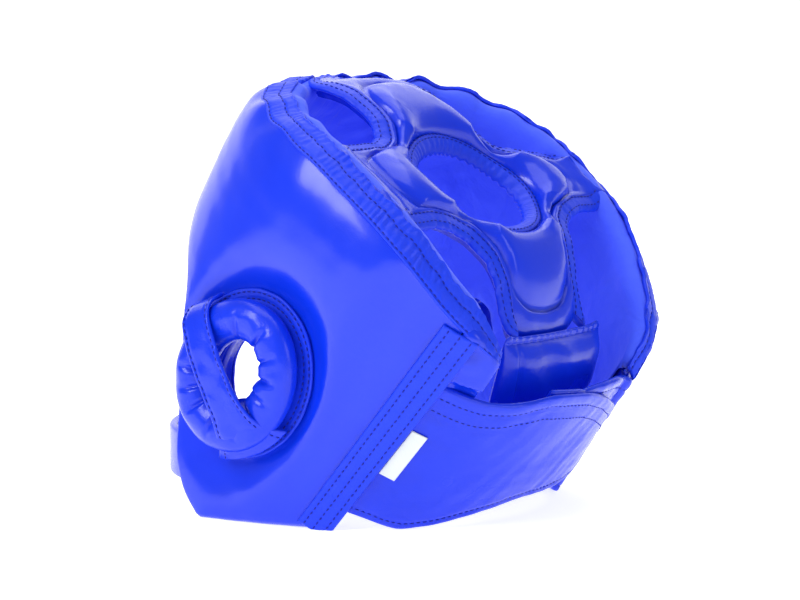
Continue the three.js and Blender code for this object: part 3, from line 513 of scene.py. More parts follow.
@dataclass
class Stitching:
    """Rows of thread along the sewn lines, made by Geometry Nodes.

    Attributes:
        pitch: distance from stitch to stitch in mm.
        length: length of the thread that shows in mm.
        radius: half the thread's thickness in mm.
    """

    pitch: float = 3.4
    length: float = 2.3
    radius: float = 0.38

    def tree(self) -> bpy.types.NodeTree:
        """Node tree that lays an oval stitch at each step along the lines."""
        tree = bpy.data.node_groups.get("stitch_rows")
        if tree:
            return tree
        tree = bpy.data.node_groups.new("stitch_rows", "GeometryNodeTree")
        tree.interface.new_socket("Lines", in_out="INPUT", socket_type="NodeSocketGeometry")
        for name in ("Pitch", "Stitch length", "Stitch radius"):
            tree.interface.new_socket(name, in_out="INPUT", socket_type="NodeSocketFloat")
        tree.interface.new_socket("Thread", in_out="INPUT", socket_type="NodeSocketMaterial")
        tree.interface.new_socket("Stitches", in_out="OUTPUT", socket_type="NodeSocketGeometry")
        entry = add(tree, "NodeGroupInput").outputs
        curve = add(tree, "GeometryNodeMeshToCurve", {"Mesh": entry["Lines"]})
        even = add(tree, "GeometryNodeResampleCurve", {"Curve": curve.outputs[0], "Length": entry["Pitch"]},
                   mode="LENGTH")
        turn = add(tree, "FunctionNodeAlignRotationToVector",
                   {"Vector": add(tree, "GeometryNodeInputTangent").outputs[0]}, axis="Z")
        bead = add(tree, "GeometryNodeMeshUVSphere", {"Segments": 6, "Rings": 4, "Radius": 1.0})
        size = add(tree, "ShaderNodeCombineXYZ", {"X": entry["Stitch radius"], "Y": entry["Stitch radius"],
                                                  "Z": entry["Stitch length"]})
        laid = add(tree, "GeometryNodeInstanceOnPoints", {
            "Points": even.outputs[0], "Instance": bead.outputs[0], "Rotation": turn.outputs[0],
            "Scale": size.outputs[0]})
        real = add(tree, "GeometryNodeRealizeInstances", {"Geometry": laid.outputs[0]})
        smooth = add(tree, "GeometryNodeSetShadeSmooth", {"Geometry": real.outputs[0]})
        dressed = add(tree, "GeometryNodeSetMaterial", {
            "Geometry": smooth.outputs[0], "Material": entry["Thread"]})
        add(tree, "NodeGroupOutput", {"Stitches": dressed.outputs[0]})
        return tree

    def build(self, owner: str, lines: Sequence[np.ndarray]) -> bpy.types.Object:
        """Sews all the lines of one piece.

        Args:
            owner: name of the piece that carries them.
            lines: points of each line, in mm.

        Returns:
            The stitches as one plain mesh.
        """
        points, edges = [], []
        for line in lines:
            start = sum(len(p) for p in points)
            points.append(line)
            edges += [(start + i, start + i + 1) for i in range(len(line) - 1)]
        mesh = bpy.data.meshes.new("lines")
        mesh.from_pydata(at_rest(np.concatenate(points)).tolist(), edges, [])
        work = bpy.data.objects.new("lines", mesh)
        bpy.context.scene.collection.objects.link(work)
        sewn = work.modifiers.new("stitches", "NODES")
        sewn.node_group = tree = self.tree()
        values = {"Pitch": self.pitch * MM, "Stitch length": self.length / 2 * MM,
                  "Stitch radius": self.radius * MM, "Thread": THREAD.material()}
        for item in tree.interface.items_tree:
            if item.item_type == "SOCKET" and item.in_out == "INPUT" and item.name in values:
                sewn[item.identifier] = values[item.name]
        bpy.context.view_layer.update()
        graph = bpy.context.evaluated_depsgraph_get()
        plain = bpy.data.meshes.new_from_object(work.evaluated_get(graph))
        plain.name = f"{owner}_stitches"
        bpy.data.objects.remove(work)
        made = bpy.data.objects.new(plain.name, plain)
        bpy.context.scene.collection.objects.link(made)
        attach(made, "root")
        LOG.info("%s: %d faces", made.name, len(plain.polygons))
        return made


def shell_point(side: Side, rim: np.ndarray, share: np.ndarray, outset: np.ndarray | float,
                lift: np.ndarray | float = 0.0) -> np.ndarray:
    """Point of the shell.

    Args:
        side: side of the head.
        rim: angle of the column at the rim.
        share: 0 at the foot and 1 at the rim.
        outset: distance outside the oval.
        lift: height added.
    """
    angle = mix(COLUMN_FOOT(rim), rim, share)
    x, y = oval(angle, outset)
    foot = np.maximum(COLUMN_HEIGHT(rim) * RIM, floor_under(y))
    z = mix(foot, rim_height(rim), share) + lift
    return np.stack(np.broadcast_arrays(side.value * x, y, np.maximum(z, floor_under(y))), -1)


def rim_near(x: np.ndarray, y: np.ndarray, inset: float) -> np.ndarray:
    """Rim height next to a place, by its angle on the oval."""
    reach = np.where(y < OVAL_SHIFT, FRONT_REACH, REAR_REACH) - inset
    return rim_height(np.degrees(np.arctan2((y - OVAL_SHIFT) / reach, np.abs(x) / (HALF_WIDTH - inset))))


def flap_depth(share: np.ndarray | float) -> np.ndarray:
    """Thickness of a rear flap, from the seam to its end."""
    return mix(PAD, FLAP_END_DEPTH, ramp(0, 1, share))


def flap_rim(side: Side, angle: np.ndarray | float) -> np.ndarray:
    """Rim height of a rear flap, whose corner hangs down on the right."""
    hang = 24 if side is Side.RIGHT else 3
    return rim_height(angle) - hang * np.clip((np.asarray(angle) - 47) / (FLAP_END[side] - 47), 0, 1) ** 2


def both_sides(columns: np.ndarray) -> list[tuple[Side, float]]:
    """Columns from the left seam round the brow to the right seam."""
    left = [(Side.LEFT, c) for c in columns[::-1]]
    return left + [(Side.RIGHT, c) for c in columns[1:]]


@dataclass
class Shell:
    """The padded horseshoe round the head: foam pad, lining and rim tape.

    Attributes:
        columns: columns a side.
        swell: how far the foam stands out between its seams.
        foot_round: radius of the foot's edge.
        lining: thickness of the lining.
        tape_rows: places of the tape's stitch rows across it.
    """

    columns: int = 120
    swell: float = 7.0
    foot_round: float = 5.0
    lining: float = 1.5
    tape_rows: tuple[float, float] = (0.13, 0.62)

    def ear_dish(self, p: np.ndarray) -> np.ndarray:
        """Presses the seat of the ear flange into the outer face."""
        y, z = p[..., 1] - EAR_Y, p[..., 2] - EAR_Z
        r = np.hypot(y, z * FLANGE_RADIUS / (FLANGE_RADIUS + EAR_STRETCH))
        low = np.clip(-z / np.maximum(r, 1), 0, 1)
        limit = 106 + mix(0.72, 0.3, low ** 2) * np.maximum(r - FLANGE_RADIUS - 1, 0)
        soft = 3.2
        x = np.abs(p[..., 0])
        near = -soft * np.logaddexp(-x / soft, -limit / soft)
        pressed = np.where(r < 80, near, x)
        p[..., 0] = np.sign(p[..., 0]) * pressed
        return p

    def outer_face(self, side: Side, rim: np.ndarray, share: np.ndarray) -> np.ndarray:
        """Point of the padded outer face."""
        ends = 1 - np.abs(2 * share - 1) ** 6
        stand = self.swell * ends * mix(0.45, 1, share) * (1 - ramp(16, 28, rim))
        return shell_point(side, rim, share, stand)

    def pad(self, dresser: Dresser) -> None:
        """Builds the foam pad under its vinyl."""
        rings = []
        shares = spread(60, 0.35)[1:]
        for side, rim in both_sides(np.linspace(-90, SEAM_TOP, self.columns)):
            turn = np.linspace(-90, 0, 7)[:-1]
            foot = shell_point(side, rim, 0 * turn, self.foot_round * (np.cos(np.radians(turn)) - 1),
                               self.foot_round * (1 + np.sin(np.radians(turn))) * 0.9)
            low = (shares[0] * 0 + shares) * 0.96 + 0.04
            face = self.outer_face(side, rim, low)
            over = [shell_point(side, rim, 1.0, -o, l) for o, l in PAD_LIP]
            inner = shell_point(side, rim, np.linspace(0.97, 0.04, 14), -PAD)
            back = shell_point(side, rim, 0.0, -PAD + self.foot_round / 2)
            rings.append(np.concatenate([foot, face, over, inner, back[None]]))
        rings = np.array(rings)
        count = 6 + len(shares)
        rings[:, :count] = self.ear_dish(rings[:, :count])
        rings[:, :count] += self.wrinkles(rings[:, :count])
        piece = tube("shell_cover", rings, False)
        self.drill(piece, EAR_HOLE)
        dresser.fit(piece, VINYL, ["shell_pad"])

    def wrinkles(self, p: np.ndarray) -> np.ndarray:
        """Slow unevenness of stuffed foam, as a small push outwards."""
        out = unit(np.stack([p[..., 0], p[..., 1] - OVAL_SHIFT, 0 * p[..., 2]], -1))
        return out * (0.3 * wander(p, 70, 3) + 0.1 * wander(p, 18, 4))[..., None]

    @staticmethod
    def drill(piece: bpy.types.Object, radius: float) -> None:
        """Cuts both ear holes through a piece."""
        turn = np.linspace(0, 2 * np.pi, 48, endpoint=False)
        y, z = EAR_Y + radius * np.cos(turn), EAR_Z + (radius + EAR_STRETCH) * np.sin(turn)
        ring = np.stack([0 * turn, y, z], -1)
        ends = [ring + [x, 0, 0] for x in (-200, 200)]
        cutter = tube("cutter", np.array(ends), False)
        cut = piece.modifiers.new("holes", "BOOLEAN")
        cut.operation, cut.object, cut.solver = "DIFFERENCE", cutter, "EXACT"
        bpy.context.view_layer.update()
        graph = bpy.context.evaluated_depsgraph_get()
        mesh = bpy.data.meshes.new_from_object(piece.evaluated_get(graph))
        piece.modifiers.clear()
        piece.data = mesh
        bpy.data.objects.remove(cutter)

    def lining_skin(self, dresser: Dresser) -> None:
        """Builds the soft skin inside the pad and the rear flaps, up to the tape's lip."""
        mids, shares = [], np.linspace(0, 1, 40)
        ends = np.linspace(1, 0.1, 9)
        mids += [self.flap_lining(Side.LEFT, e, shares) for e in ends]
        for side, rim in both_sides(np.linspace(-90, SEAM_TOP, self.columns)):
            height = rim_height(rim) - COLUMN_HEIGHT(rim) * RIM
            hem = 8 / max(float(height), 1)
            wall = shell_point(side, rim, mix(hem, 1, shares), -PAD - GAP - self.lining / 2, 4.5 * shares)
            over = [shell_point(side, rim, 1.0, -o, up) for o, up in LINING_LIP]
            mids.append(np.concatenate([wall, over]))
        mids += [self.flap_lining(Side.RIGHT, e, shares) for e in ends[::-1]]
        mid = np.array(mids)
        out = unit(np.stack([mid[..., 0], mid[..., 1] - OVAL_SHIFT, 0 * mid[..., 2]], -1))
        soft = np.clip(1.4 * wander(mid, 34, 8) + 0.6 * wander(mid, 13, 9), -0.2, 3)
        soft[:, -5:] *= 0.2
        mid = mid - out * (soft * 0.8)[..., None]
        across, along = lengths(mid, 1), lengths(mid, 0)
        edge = np.minimum(across, across[:, -1:] - across)
        edge = np.minimum(edge, np.minimum(along, along[-1:] - along))
        half = self.lining / 2 * rounded(edge, 1.5)
        piece = Panel(mid, half, half).build("lining_skin")
        self.drill(piece, EAR_HOLE)
        dresser.fit(piece, LINING, ["lining"])

    def flap_lining(self, side: Side, share: float, rows: np.ndarray) -> np.ndarray:
        """Line of the lining up the inner face of a rear flap and over its top."""
        depth = flap_depth(share)
        thin = depth / PAD
        angle = mix(SEAM_TOP, FLAP_END[side], share)
        rim = flap_rim(side, angle)
        z = mix(8 - BAND_TOP * FLAP_FOOT, rim + 4.5 * thin, rows)
        x, y = oval(mix(seam_angle(z), FLAP_END[side], share), -depth - 2 * GAP - self.lining / 2)
        wall = np.stack([side.value * x, y, z], -1)
        over = []
        for o, up in LINING_LIP:
            x, y = oval(angle, -o * thin)
            over.append(np.array([side.value * x, y, rim + up * thin]))
        return np.concatenate([wall, over])

    def rim_tape(self, dresser: Dresser) -> None:
        """Builds the crinkled tape over the rim, with its two stitch rows and wavy lip."""
        path = Curve([(0, 0.3), (3, -1.4), (6, -3.9), (11, -8.6), (14.5, -12), (17, -14.5)])
        rise = Curve([(0, -1.6), (3, 0.6), (6, 2.9), (11, 6.4), (14.5, 8.9), (17, 9.8)])
        across = spread(30, 0.5)[None]
        tail = np.linspace(0.02, 1, 40)
        pads = [(side, rim, 1.0) for side, rim in both_sides(np.linspace(-90, SEAM_TOP, 460))]
        left, right = ([(side, mix(SEAM_TOP, FLAP_END[side], t), float(flap_depth(t) / PAD)) for t in tail]
                       for side in Side)
        stations = left[::-1] + pads + right
        value = np.array([side.value for side, _, _ in stations])[:, None]
        angle = np.array([a for _, a, _ in stations])[:, None]
        thin = np.array([k for _, _, k in stations])[:, None]
        x, y = oval(angle, 0)
        tall = np.where(value > 0, flap_rim(Side.LEFT, angle), flap_rim(Side.RIGHT, angle))
        rim = np.stack([value * x, y, tall], -1)
        lip = 14.6 + 0.8 * wander(rim, 26, 23) + 0.5 * wander(rim, 9, 24)
        lip = lip + (value < 0) * (1.2 + 1.7 * wander(rim, 20, 25))
        wide = across * lip
        x, y = oval(angle, path(wide) * thin)
        stand_up = (value < 0) * (1.3 + 0.8 * wander(rim, 17, 27)) * ramp(0.7, 1, across)
        mid = np.stack([value * x, y, tall + (rise(wide) + stand_up) * thin], -1)
        along = lengths(mid, 0)[:, :1]
        edge = np.minimum(across, 1 - across) * lip
        ends = np.minimum(along, along[-1:] - along)
        crinkle = np.sin(along / 0.7 + 2.5 * wander(mid, 20, 21)) * (0.25 + 0.4 * wander(mid, 15, 22) ** 2)
        gathers = bump(across, 0.36, 0.25) + mix(0.35, 1, value > 0) * ramp(0.66, 0.8, across)
        crinkle = crinkle * gathers + 0.3 * wander(mid, 8, 26)
        sewn = sum(0.6 * bump(across, s, 0.045) for s in self.tape_rows)
        stand = 1.4 + 0.36 * crinkle - sewn + 0.6 * ramp(0.9, 0.98, across)
        round_off = rounded(edge, 0.9) * rounded(ends, 1.5)
        stand = np.clip(stand, 0.35, 3) * round_off
        panel = Panel(mid, stand, 0.25 * round_off)
        rows = self.tape_rows
        if panel.normals()[len(mid) // 2, 3] @ np.array([0, -1, 1]) < 0:
            panel = Panel(mid[:, ::-1], stand[:, ::-1], panel.down[:, ::-1])
            rows = tuple(1 - r for r in rows)
        where = spread(30, 0.5) if rows[0] < 0.5 else 1 - spread(30, 0.5)[::-1]
        for r in rows:
            share = float(np.interp(r, where, np.linspace(0, 1, 30)))
            dresser.sew("rim_tape", panel.row(share, 0.12))
        dresser.fit(panel.build("rim_tape"), TAPE, ["top_binding"])

    def build(self, dresser: Dresser) -> None:
        """Builds all of the horseshoe."""
        self.pad(dresser)
        self.lining_skin(dresser)
        self.rim_tape(dresser)


@dataclass
class Crown:
    """The cross-shaped crown pad with its vent and bindings.

    Attributes:
        puff: height of the stuffed field.
        groove: depth of the sewn groove.
        thickness: from the field's rim down to its underside.
        vent_width: half the vent's size across the head.
        vent_length: half the vent's size along the head.
        vent_y: place of the vent's middle along the head.
        binding: width of the vent's binding.
        tape_half: half the width of the tape along the notches.
    """

    puff: float = 5.2
    groove: float = 2.6
    thickness: float = 10.0
    vent_width: float = 37.0
    vent_length: float = 30.0
    vent_y: float = 2.0
    binding: float = 9.0
    tape_half: float = 5.0

    def height(self, x: np.ndarray, y: np.ndarray) -> np.ndarray:
        """Height of the crown's sheet."""
        spine = SPINE(y) - 2 * (x / 36) ** 2
        arm = ARM(np.abs(x)) - np.where(y < 0, 3, 6) * (y / 36) ** 2
        ends = 1 - ramp(36, 57.6, np.abs(y))
        return mix(spine, arm, ramp(28.8, 61.2, np.abs(x)) * ends)

    def reach(self, angle: np.ndarray) -> np.ndarray:
        """Distance from the vent to the inside of the pad."""
        turn = np.radians(angle)
        across, back = np.abs(np.cos(turn)), np.sin(turn)
        near, far = np.zeros_like(turn), np.full_like(turn, 247.0)
        for _ in range(40):
            at = (near + far) / 2
            y = self.vent_y + back * at - OVAL_SHIFT
            full = np.where(y < 0, FRONT_FULLNESS, REAR_FULLNESS)
            reach = np.where(y < 0, FRONT_REACH, REAR_REACH) - PAD - GAP
            inside = (across * at / (HALF_WIDTH - PAD - GAP)) ** full + (np.abs(y) / reach) ** full < 1
            near, far = np.where(inside, at, near), np.where(inside, far, at)
        return near

    def half_angle(self, angle: np.ndarray) -> np.ndarray:
        """Direction in the tables, with the right arm sewn further back."""
        turn = np.radians(angle)
        half = np.degrees(np.arcsin(np.clip(np.sin(turn), -1, 1)))
        back = 13 * ramp(-75, -38, half) * (1 - ramp(-4, 12, half))
        return np.where(np.cos(turn) < -1e-9, half - back, half)

    def vent(self, angle: np.ndarray, margin: np.ndarray | float) -> np.ndarray:
        """Distance from the vent's middle to a line round it."""
        turn = np.radians(angle)
        across, back = np.cos(turn) / (self.vent_width + margin), np.sin(turn) / (self.vent_length + margin)
        return 1 / np.hypot(across, back)

    def point(self, angle: np.ndarray, radius: np.ndarray, lift: np.ndarray | float) -> np.ndarray:
        """Point of the crown's sheet."""
        turn = np.radians(angle)
        x, y = np.cos(turn) * radius, self.vent_y + np.sin(turn) * radius
        return np.stack(np.broadcast_arrays(x, y, self.height(x, y) + lift), -1)

    def edge(self, angle: np.ndarray) -> np.ndarray:
        """Distance from the vent to the cross's edge."""
        return CROSS_EDGE(self.half_angle(angle)) * self.reach(angle)

    def cushion(self, dresser: Dresser) -> None:
        """Builds the stuffed cross with its double-stitched groove."""
        angles = np.linspace(-90, 270, 721)[:-1][:, None]
        inner = self.vent(angles, self.binding + GAP)
        reach = self.reach(angles)
        on_pad = ramp(0.93, 0.995, self.edge(angles) / reach)
        edge = np.maximum(self.edge(angles), inner + 6) + 8 * on_pad
        groove = np.minimum(np.maximum(CROSS_GROOVE(self.half_angle(angles)) * reach, inner + 3), edge - 2)
        field_rows = spread(16, 0.4)
        rim_rows = spread(12, 0.5)[1:]
        radius = np.concatenate([mix(inner, groove, field_rows[None]), mix(groove, edge, rim_rows[None])], 1)
        width = groove - inner
        along_field = (radius - inner) / width
        hump = np.where(radius <= groove, 1 - np.abs(2 * along_field - 1) ** 3, 0)
        rise = (self.groove + self.puff) * np.clip(hump, 0, 1) ** 0.7
        field_lift = -self.groove + rise * np.clip(width / 14, 0, 1)
        past = (radius - groove) / np.maximum(edge - groove, 1)
        rim_lift = mix(-self.groove, 0.8, np.clip(past * 4, 0, 1) ** 0.6)
        rim_lift = rim_lift - 3.4 * np.clip(past - 0.55, 0, 1) ** 2 / 0.2
        lift = np.where(radius <= groove, field_lift, rim_lift)
        top = self.point(angles, radius, lift)
        rest_on = rim_near(top[..., 0], top[..., 1], 14) + 9.6 - 0.67 * np.maximum(radius - reach - 6, 0)
        climb = on_pad * ramp(-9, -0.5, radius - reach)
        top[..., 2] = mix(top[..., 2], np.maximum(rest_on, top[..., 2]), climb)
        top[..., 2] += (0.35 * wander(top, 24, 31) + 0.25 * wander(top, 11, 32)) * np.clip(hump + past, 0, 1)
        low = np.linspace(1, 0, 8)
        below = mix(inner, edge, low[None])
        under = self.point(angles, below, -self.thickness)
        past = np.maximum(below - reach - 6, 0)
        over = np.maximum(rim_near(under[..., 0], under[..., 1], 14) + 9.0 - 0.67 * past, under[..., 2])
        under[..., 2] = mix(under[..., 2], over, on_pad * ramp(-2.5, 0.5, below - reach))
        piece = tube("crown_cushion", np.concatenate([top, under], 1), True)
        dresser.fit(piece, VINYL, ["crown_pad"])
        closed = np.r_[angles, angles[:1]]
        for offset in (-2.2, 2.2):
            at = np.r_[groove, groove[:1]] + offset
            line = self.point(closed, at, -self.groove + 0.9)[:, 0]
            dresser.sew("crown_cushion", line)

    def vent_ring(self, dresser: Dresser) -> None:
        """Builds the pleated binding round the vent."""
        count = 720
        angle = np.linspace(0, 360, count, endpoint=False)[:, None]
        turn = np.linspace(0, 2 * np.pi, 20, endpoint=False)[None]
        c, s = np.cos(turn), np.sin(turn)
        bend = np.radians(angle)
        pleat = 0.5 * np.sin(bend * 46 + 2 * np.sin(bend * 7)) * np.clip(0.4 - c, 0, 1)
        margin = self.binding / 2 * (1 + c) + 0 * angle
        lift = 2.5 * s + 5 * (0.5 * c - 0.5) - 3.5 + pleat
        rings = self.point(angle, self.vent(angle, margin + 0.4 * pleat), lift)
        piece = tube("vent_binding", rings, True)
        dresser.fit(piece, TAPE, ["crown_hole_binding"])
        closed = np.r_[angle, angle[:1]]
        for margin in (6.4, 8.6):
            arch = 2.5 * math.sqrt(max(1 - (margin / 4.5 - 1) ** 2, 0))
            lift = 5 * ((margin / self.binding) - 1) - 3.5 + arch + 0.1
            dresser.sew("vent_binding", self.point(closed, self.vent(closed, margin), lift)[:, 0])

    def notch(self, side: Side, start: float, end: float, name: str, gathered: float,
              dresser: Dresser) -> None:
        """Builds the folded tape along one notch of the cross.

        Args:
            side: side of the head.
            start: first direction from the vent.
            end: last direction.
            name: name of the node that it stands for.
            gathered: depth of the gathers in mm.
            dresser: puts the piece on the frame.
        """
        share = np.linspace(0, 1, 220)
        half, thick, lap = self.tape_half, 2.3, 2.6

        def edge_at(at: np.ndarray) -> np.ndarray:
            angle = mix(start, end, at)
            turned = angle if side is Side.LEFT else 180 - angle
            reach, radius = self.reach(turned), self.edge(turned)
            p = self.point(turned, radius, 0)
            rest_on = rim_near(p[:, 0], p[:, 1], 14) + 9.0
            p[:, 2] = mix(p[:, 2], np.maximum(rest_on, p[:, 2]), ramp(0.93, 0.995, radius / reach))
            return p

        run = edge_at(np.minimum(share + 0.01, 1)) - edge_at(np.maximum(share - 0.01, 0))
        run[:, 2] = 0
        run = unit(run)
        away = np.stack([side.value * run[:, 1], -side.value * run[:, 0], 0 * share], -1)
        centre = edge_at(share) + away * (half - lap)
        along = np.r_[0, np.cumsum(np.linalg.norm(np.diff(centre, axis=0), axis=1))][:, None]
        turn = np.linspace(0, 2 * np.pi, 28, endpoint=False)[None]
        out = np.sign(np.cos(turn)) * np.abs(np.cos(turn)) ** 0.7
        frill = gathered * np.sin(along / 0.75 + 2 * np.sin(along / 9)) * (0.5 + 0.5 * out)
        frill = frill + gathered * wander(centre, 9, 41)[:, None] * (1 + out)
        offset = out * half + frill
        z = centre[:, 2:] + 1.1 - thick + thick * np.sin(turn) - 0.28 * (offset + half) + 0.4 * frill
        plan = centre[:, None, :2] + away[:, None, :2] * offset[..., None]
        rings = np.concatenate([plan, z[..., None]], -1)
        piece = tube(f"{name}_tape", rings, False)
        dresser.fit(piece, TAPE, [name])
        for offset in (-half + 2, half - 2.6):
            line = centre + away * offset
            line[:, 2] += 1.1 - thick + thick * 0.93 - 0.28 * (offset + half) + 0.1
            dresser.sew("crown_edge", line[2:-2])

    def build(self, dresser: Dresser) -> None:
        """Builds the crown with its bindings."""
        self.cushion(dresser)
        self.vent_ring(dresser)
        for side in Side:
            turn = 0 if side is Side.LEFT else 13
            gathered = 0.12 if side is Side.LEFT else 0.5
            self.notch(side, -73.6, -15.4 + turn, f"crown_edge_front_{side.word}", gathered, dresser)
            self.notch(side, 12.4, 69.5, f"crown_edge_rear_{side.word}", 0.15, dresser)


@dataclass
class RearTab:
    """The padded pull tab on the end of the cross.

    Attributes:
        width: across the head.
        length: from its seam to its foot.
        thickness: of the stuffed middle.
        top: height of its upper edge.
        tilt: lean of its foot toward the back.
        lap: distance by which it laps the arm.
        seam: height of the sewn upper edge.
    """

    width: float = 94.0
    length: float = 41.0
    thickness: float = 7.0
    top: float = 82.0
    tilt: float = math.radians(20)
    lap: float = 0.3
    seam: float = 3.5

    def build(self, crown: Crown, dresser: Dresser) -> None:
        """Builds the pillow."""
        arm_end = crown.vent_y + float(crown.edge(np.array([90.0]))[0])
        over = self.top - float(crown.height(np.array([0.0]), np.array([arm_end]))[0]) + 3
        top_y = arm_end - self.lap - over * math.tan(self.tilt)
        across, down = np.meshgrid(spread(110, 0.4) * 2 - 1, spread(70, 0.4), indexing="ij")
        fall = down * self.length
        inset = 1 - 0.03 * np.sin(np.clip(down, 0, 1) * np.pi)
        top_round = 5 * (1 - rounded(fall, 5))
        foot_round = 8 * (1 - rounded(self.length - fall, 8))
        x = across * (self.width / 2 * inset - top_round - foot_round) - 2 - 4 * down * (across < 0) * -across
        out = self.thickness / 2 - 2 * across ** 2
        curl = 1.6 * np.abs(across) ** 10 * (1 - ramp(0, 8, fall))
        y = top_y + out * math.cos(self.tilt) + fall * math.sin(self.tilt)
        z = self.top + out * math.sin(self.tilt) - fall * math.cos(self.tilt) + curl
        mid = np.stack([x, y, z], -1)
        edge_x = (1 - np.abs(across)) * self.width / 2
        crimp = 0.35 * np.sin(x / 0.9 + 1.5 * np.sin(x / 7))
        pillow = rounded(edge_x, 13) * rounded(self.length - fall, 13)
        pillow = pillow * rounded(np.maximum(fall - self.seam, 0), 12)
        pleats = bump(x + 0.15 * fall, 0.38 * self.width, 1.8)
        seam = (1.5 + crimp) * (1 - ramp(self.seam - 1, self.seam + 1.5, fall)) * rounded(fall, 1.4)
        seam = seam * rounded(edge_x, 3) * 0.8
        swell = 2.5 * np.sin(np.pi * down) * (1 - across ** 2)
        uneven = 1 + 0.12 * wander(mid, 26, 51) - 0.2 * pleats
        stand = (self.thickness + swell) * pillow * uneven
        up = np.maximum(stand, seam)
        under = np.maximum(0.5 * self.thickness * pillow, 0.8 * rounded(edge_x, 3) * rounded(fall, 1.4)
                           * rounded(self.length - fall, 3))
        panel = Panel(mid, up, under)
        if (panel.normals()[50, 30] @ np.array([0, 1, 0])) < 0:
            panel = Panel(mid[:, ::-1], up[:, ::-1], under[:, ::-1])
        dresser.fit(panel.build("rear_pull_tab"), SOFT_VINYL, ["rear_tab"])


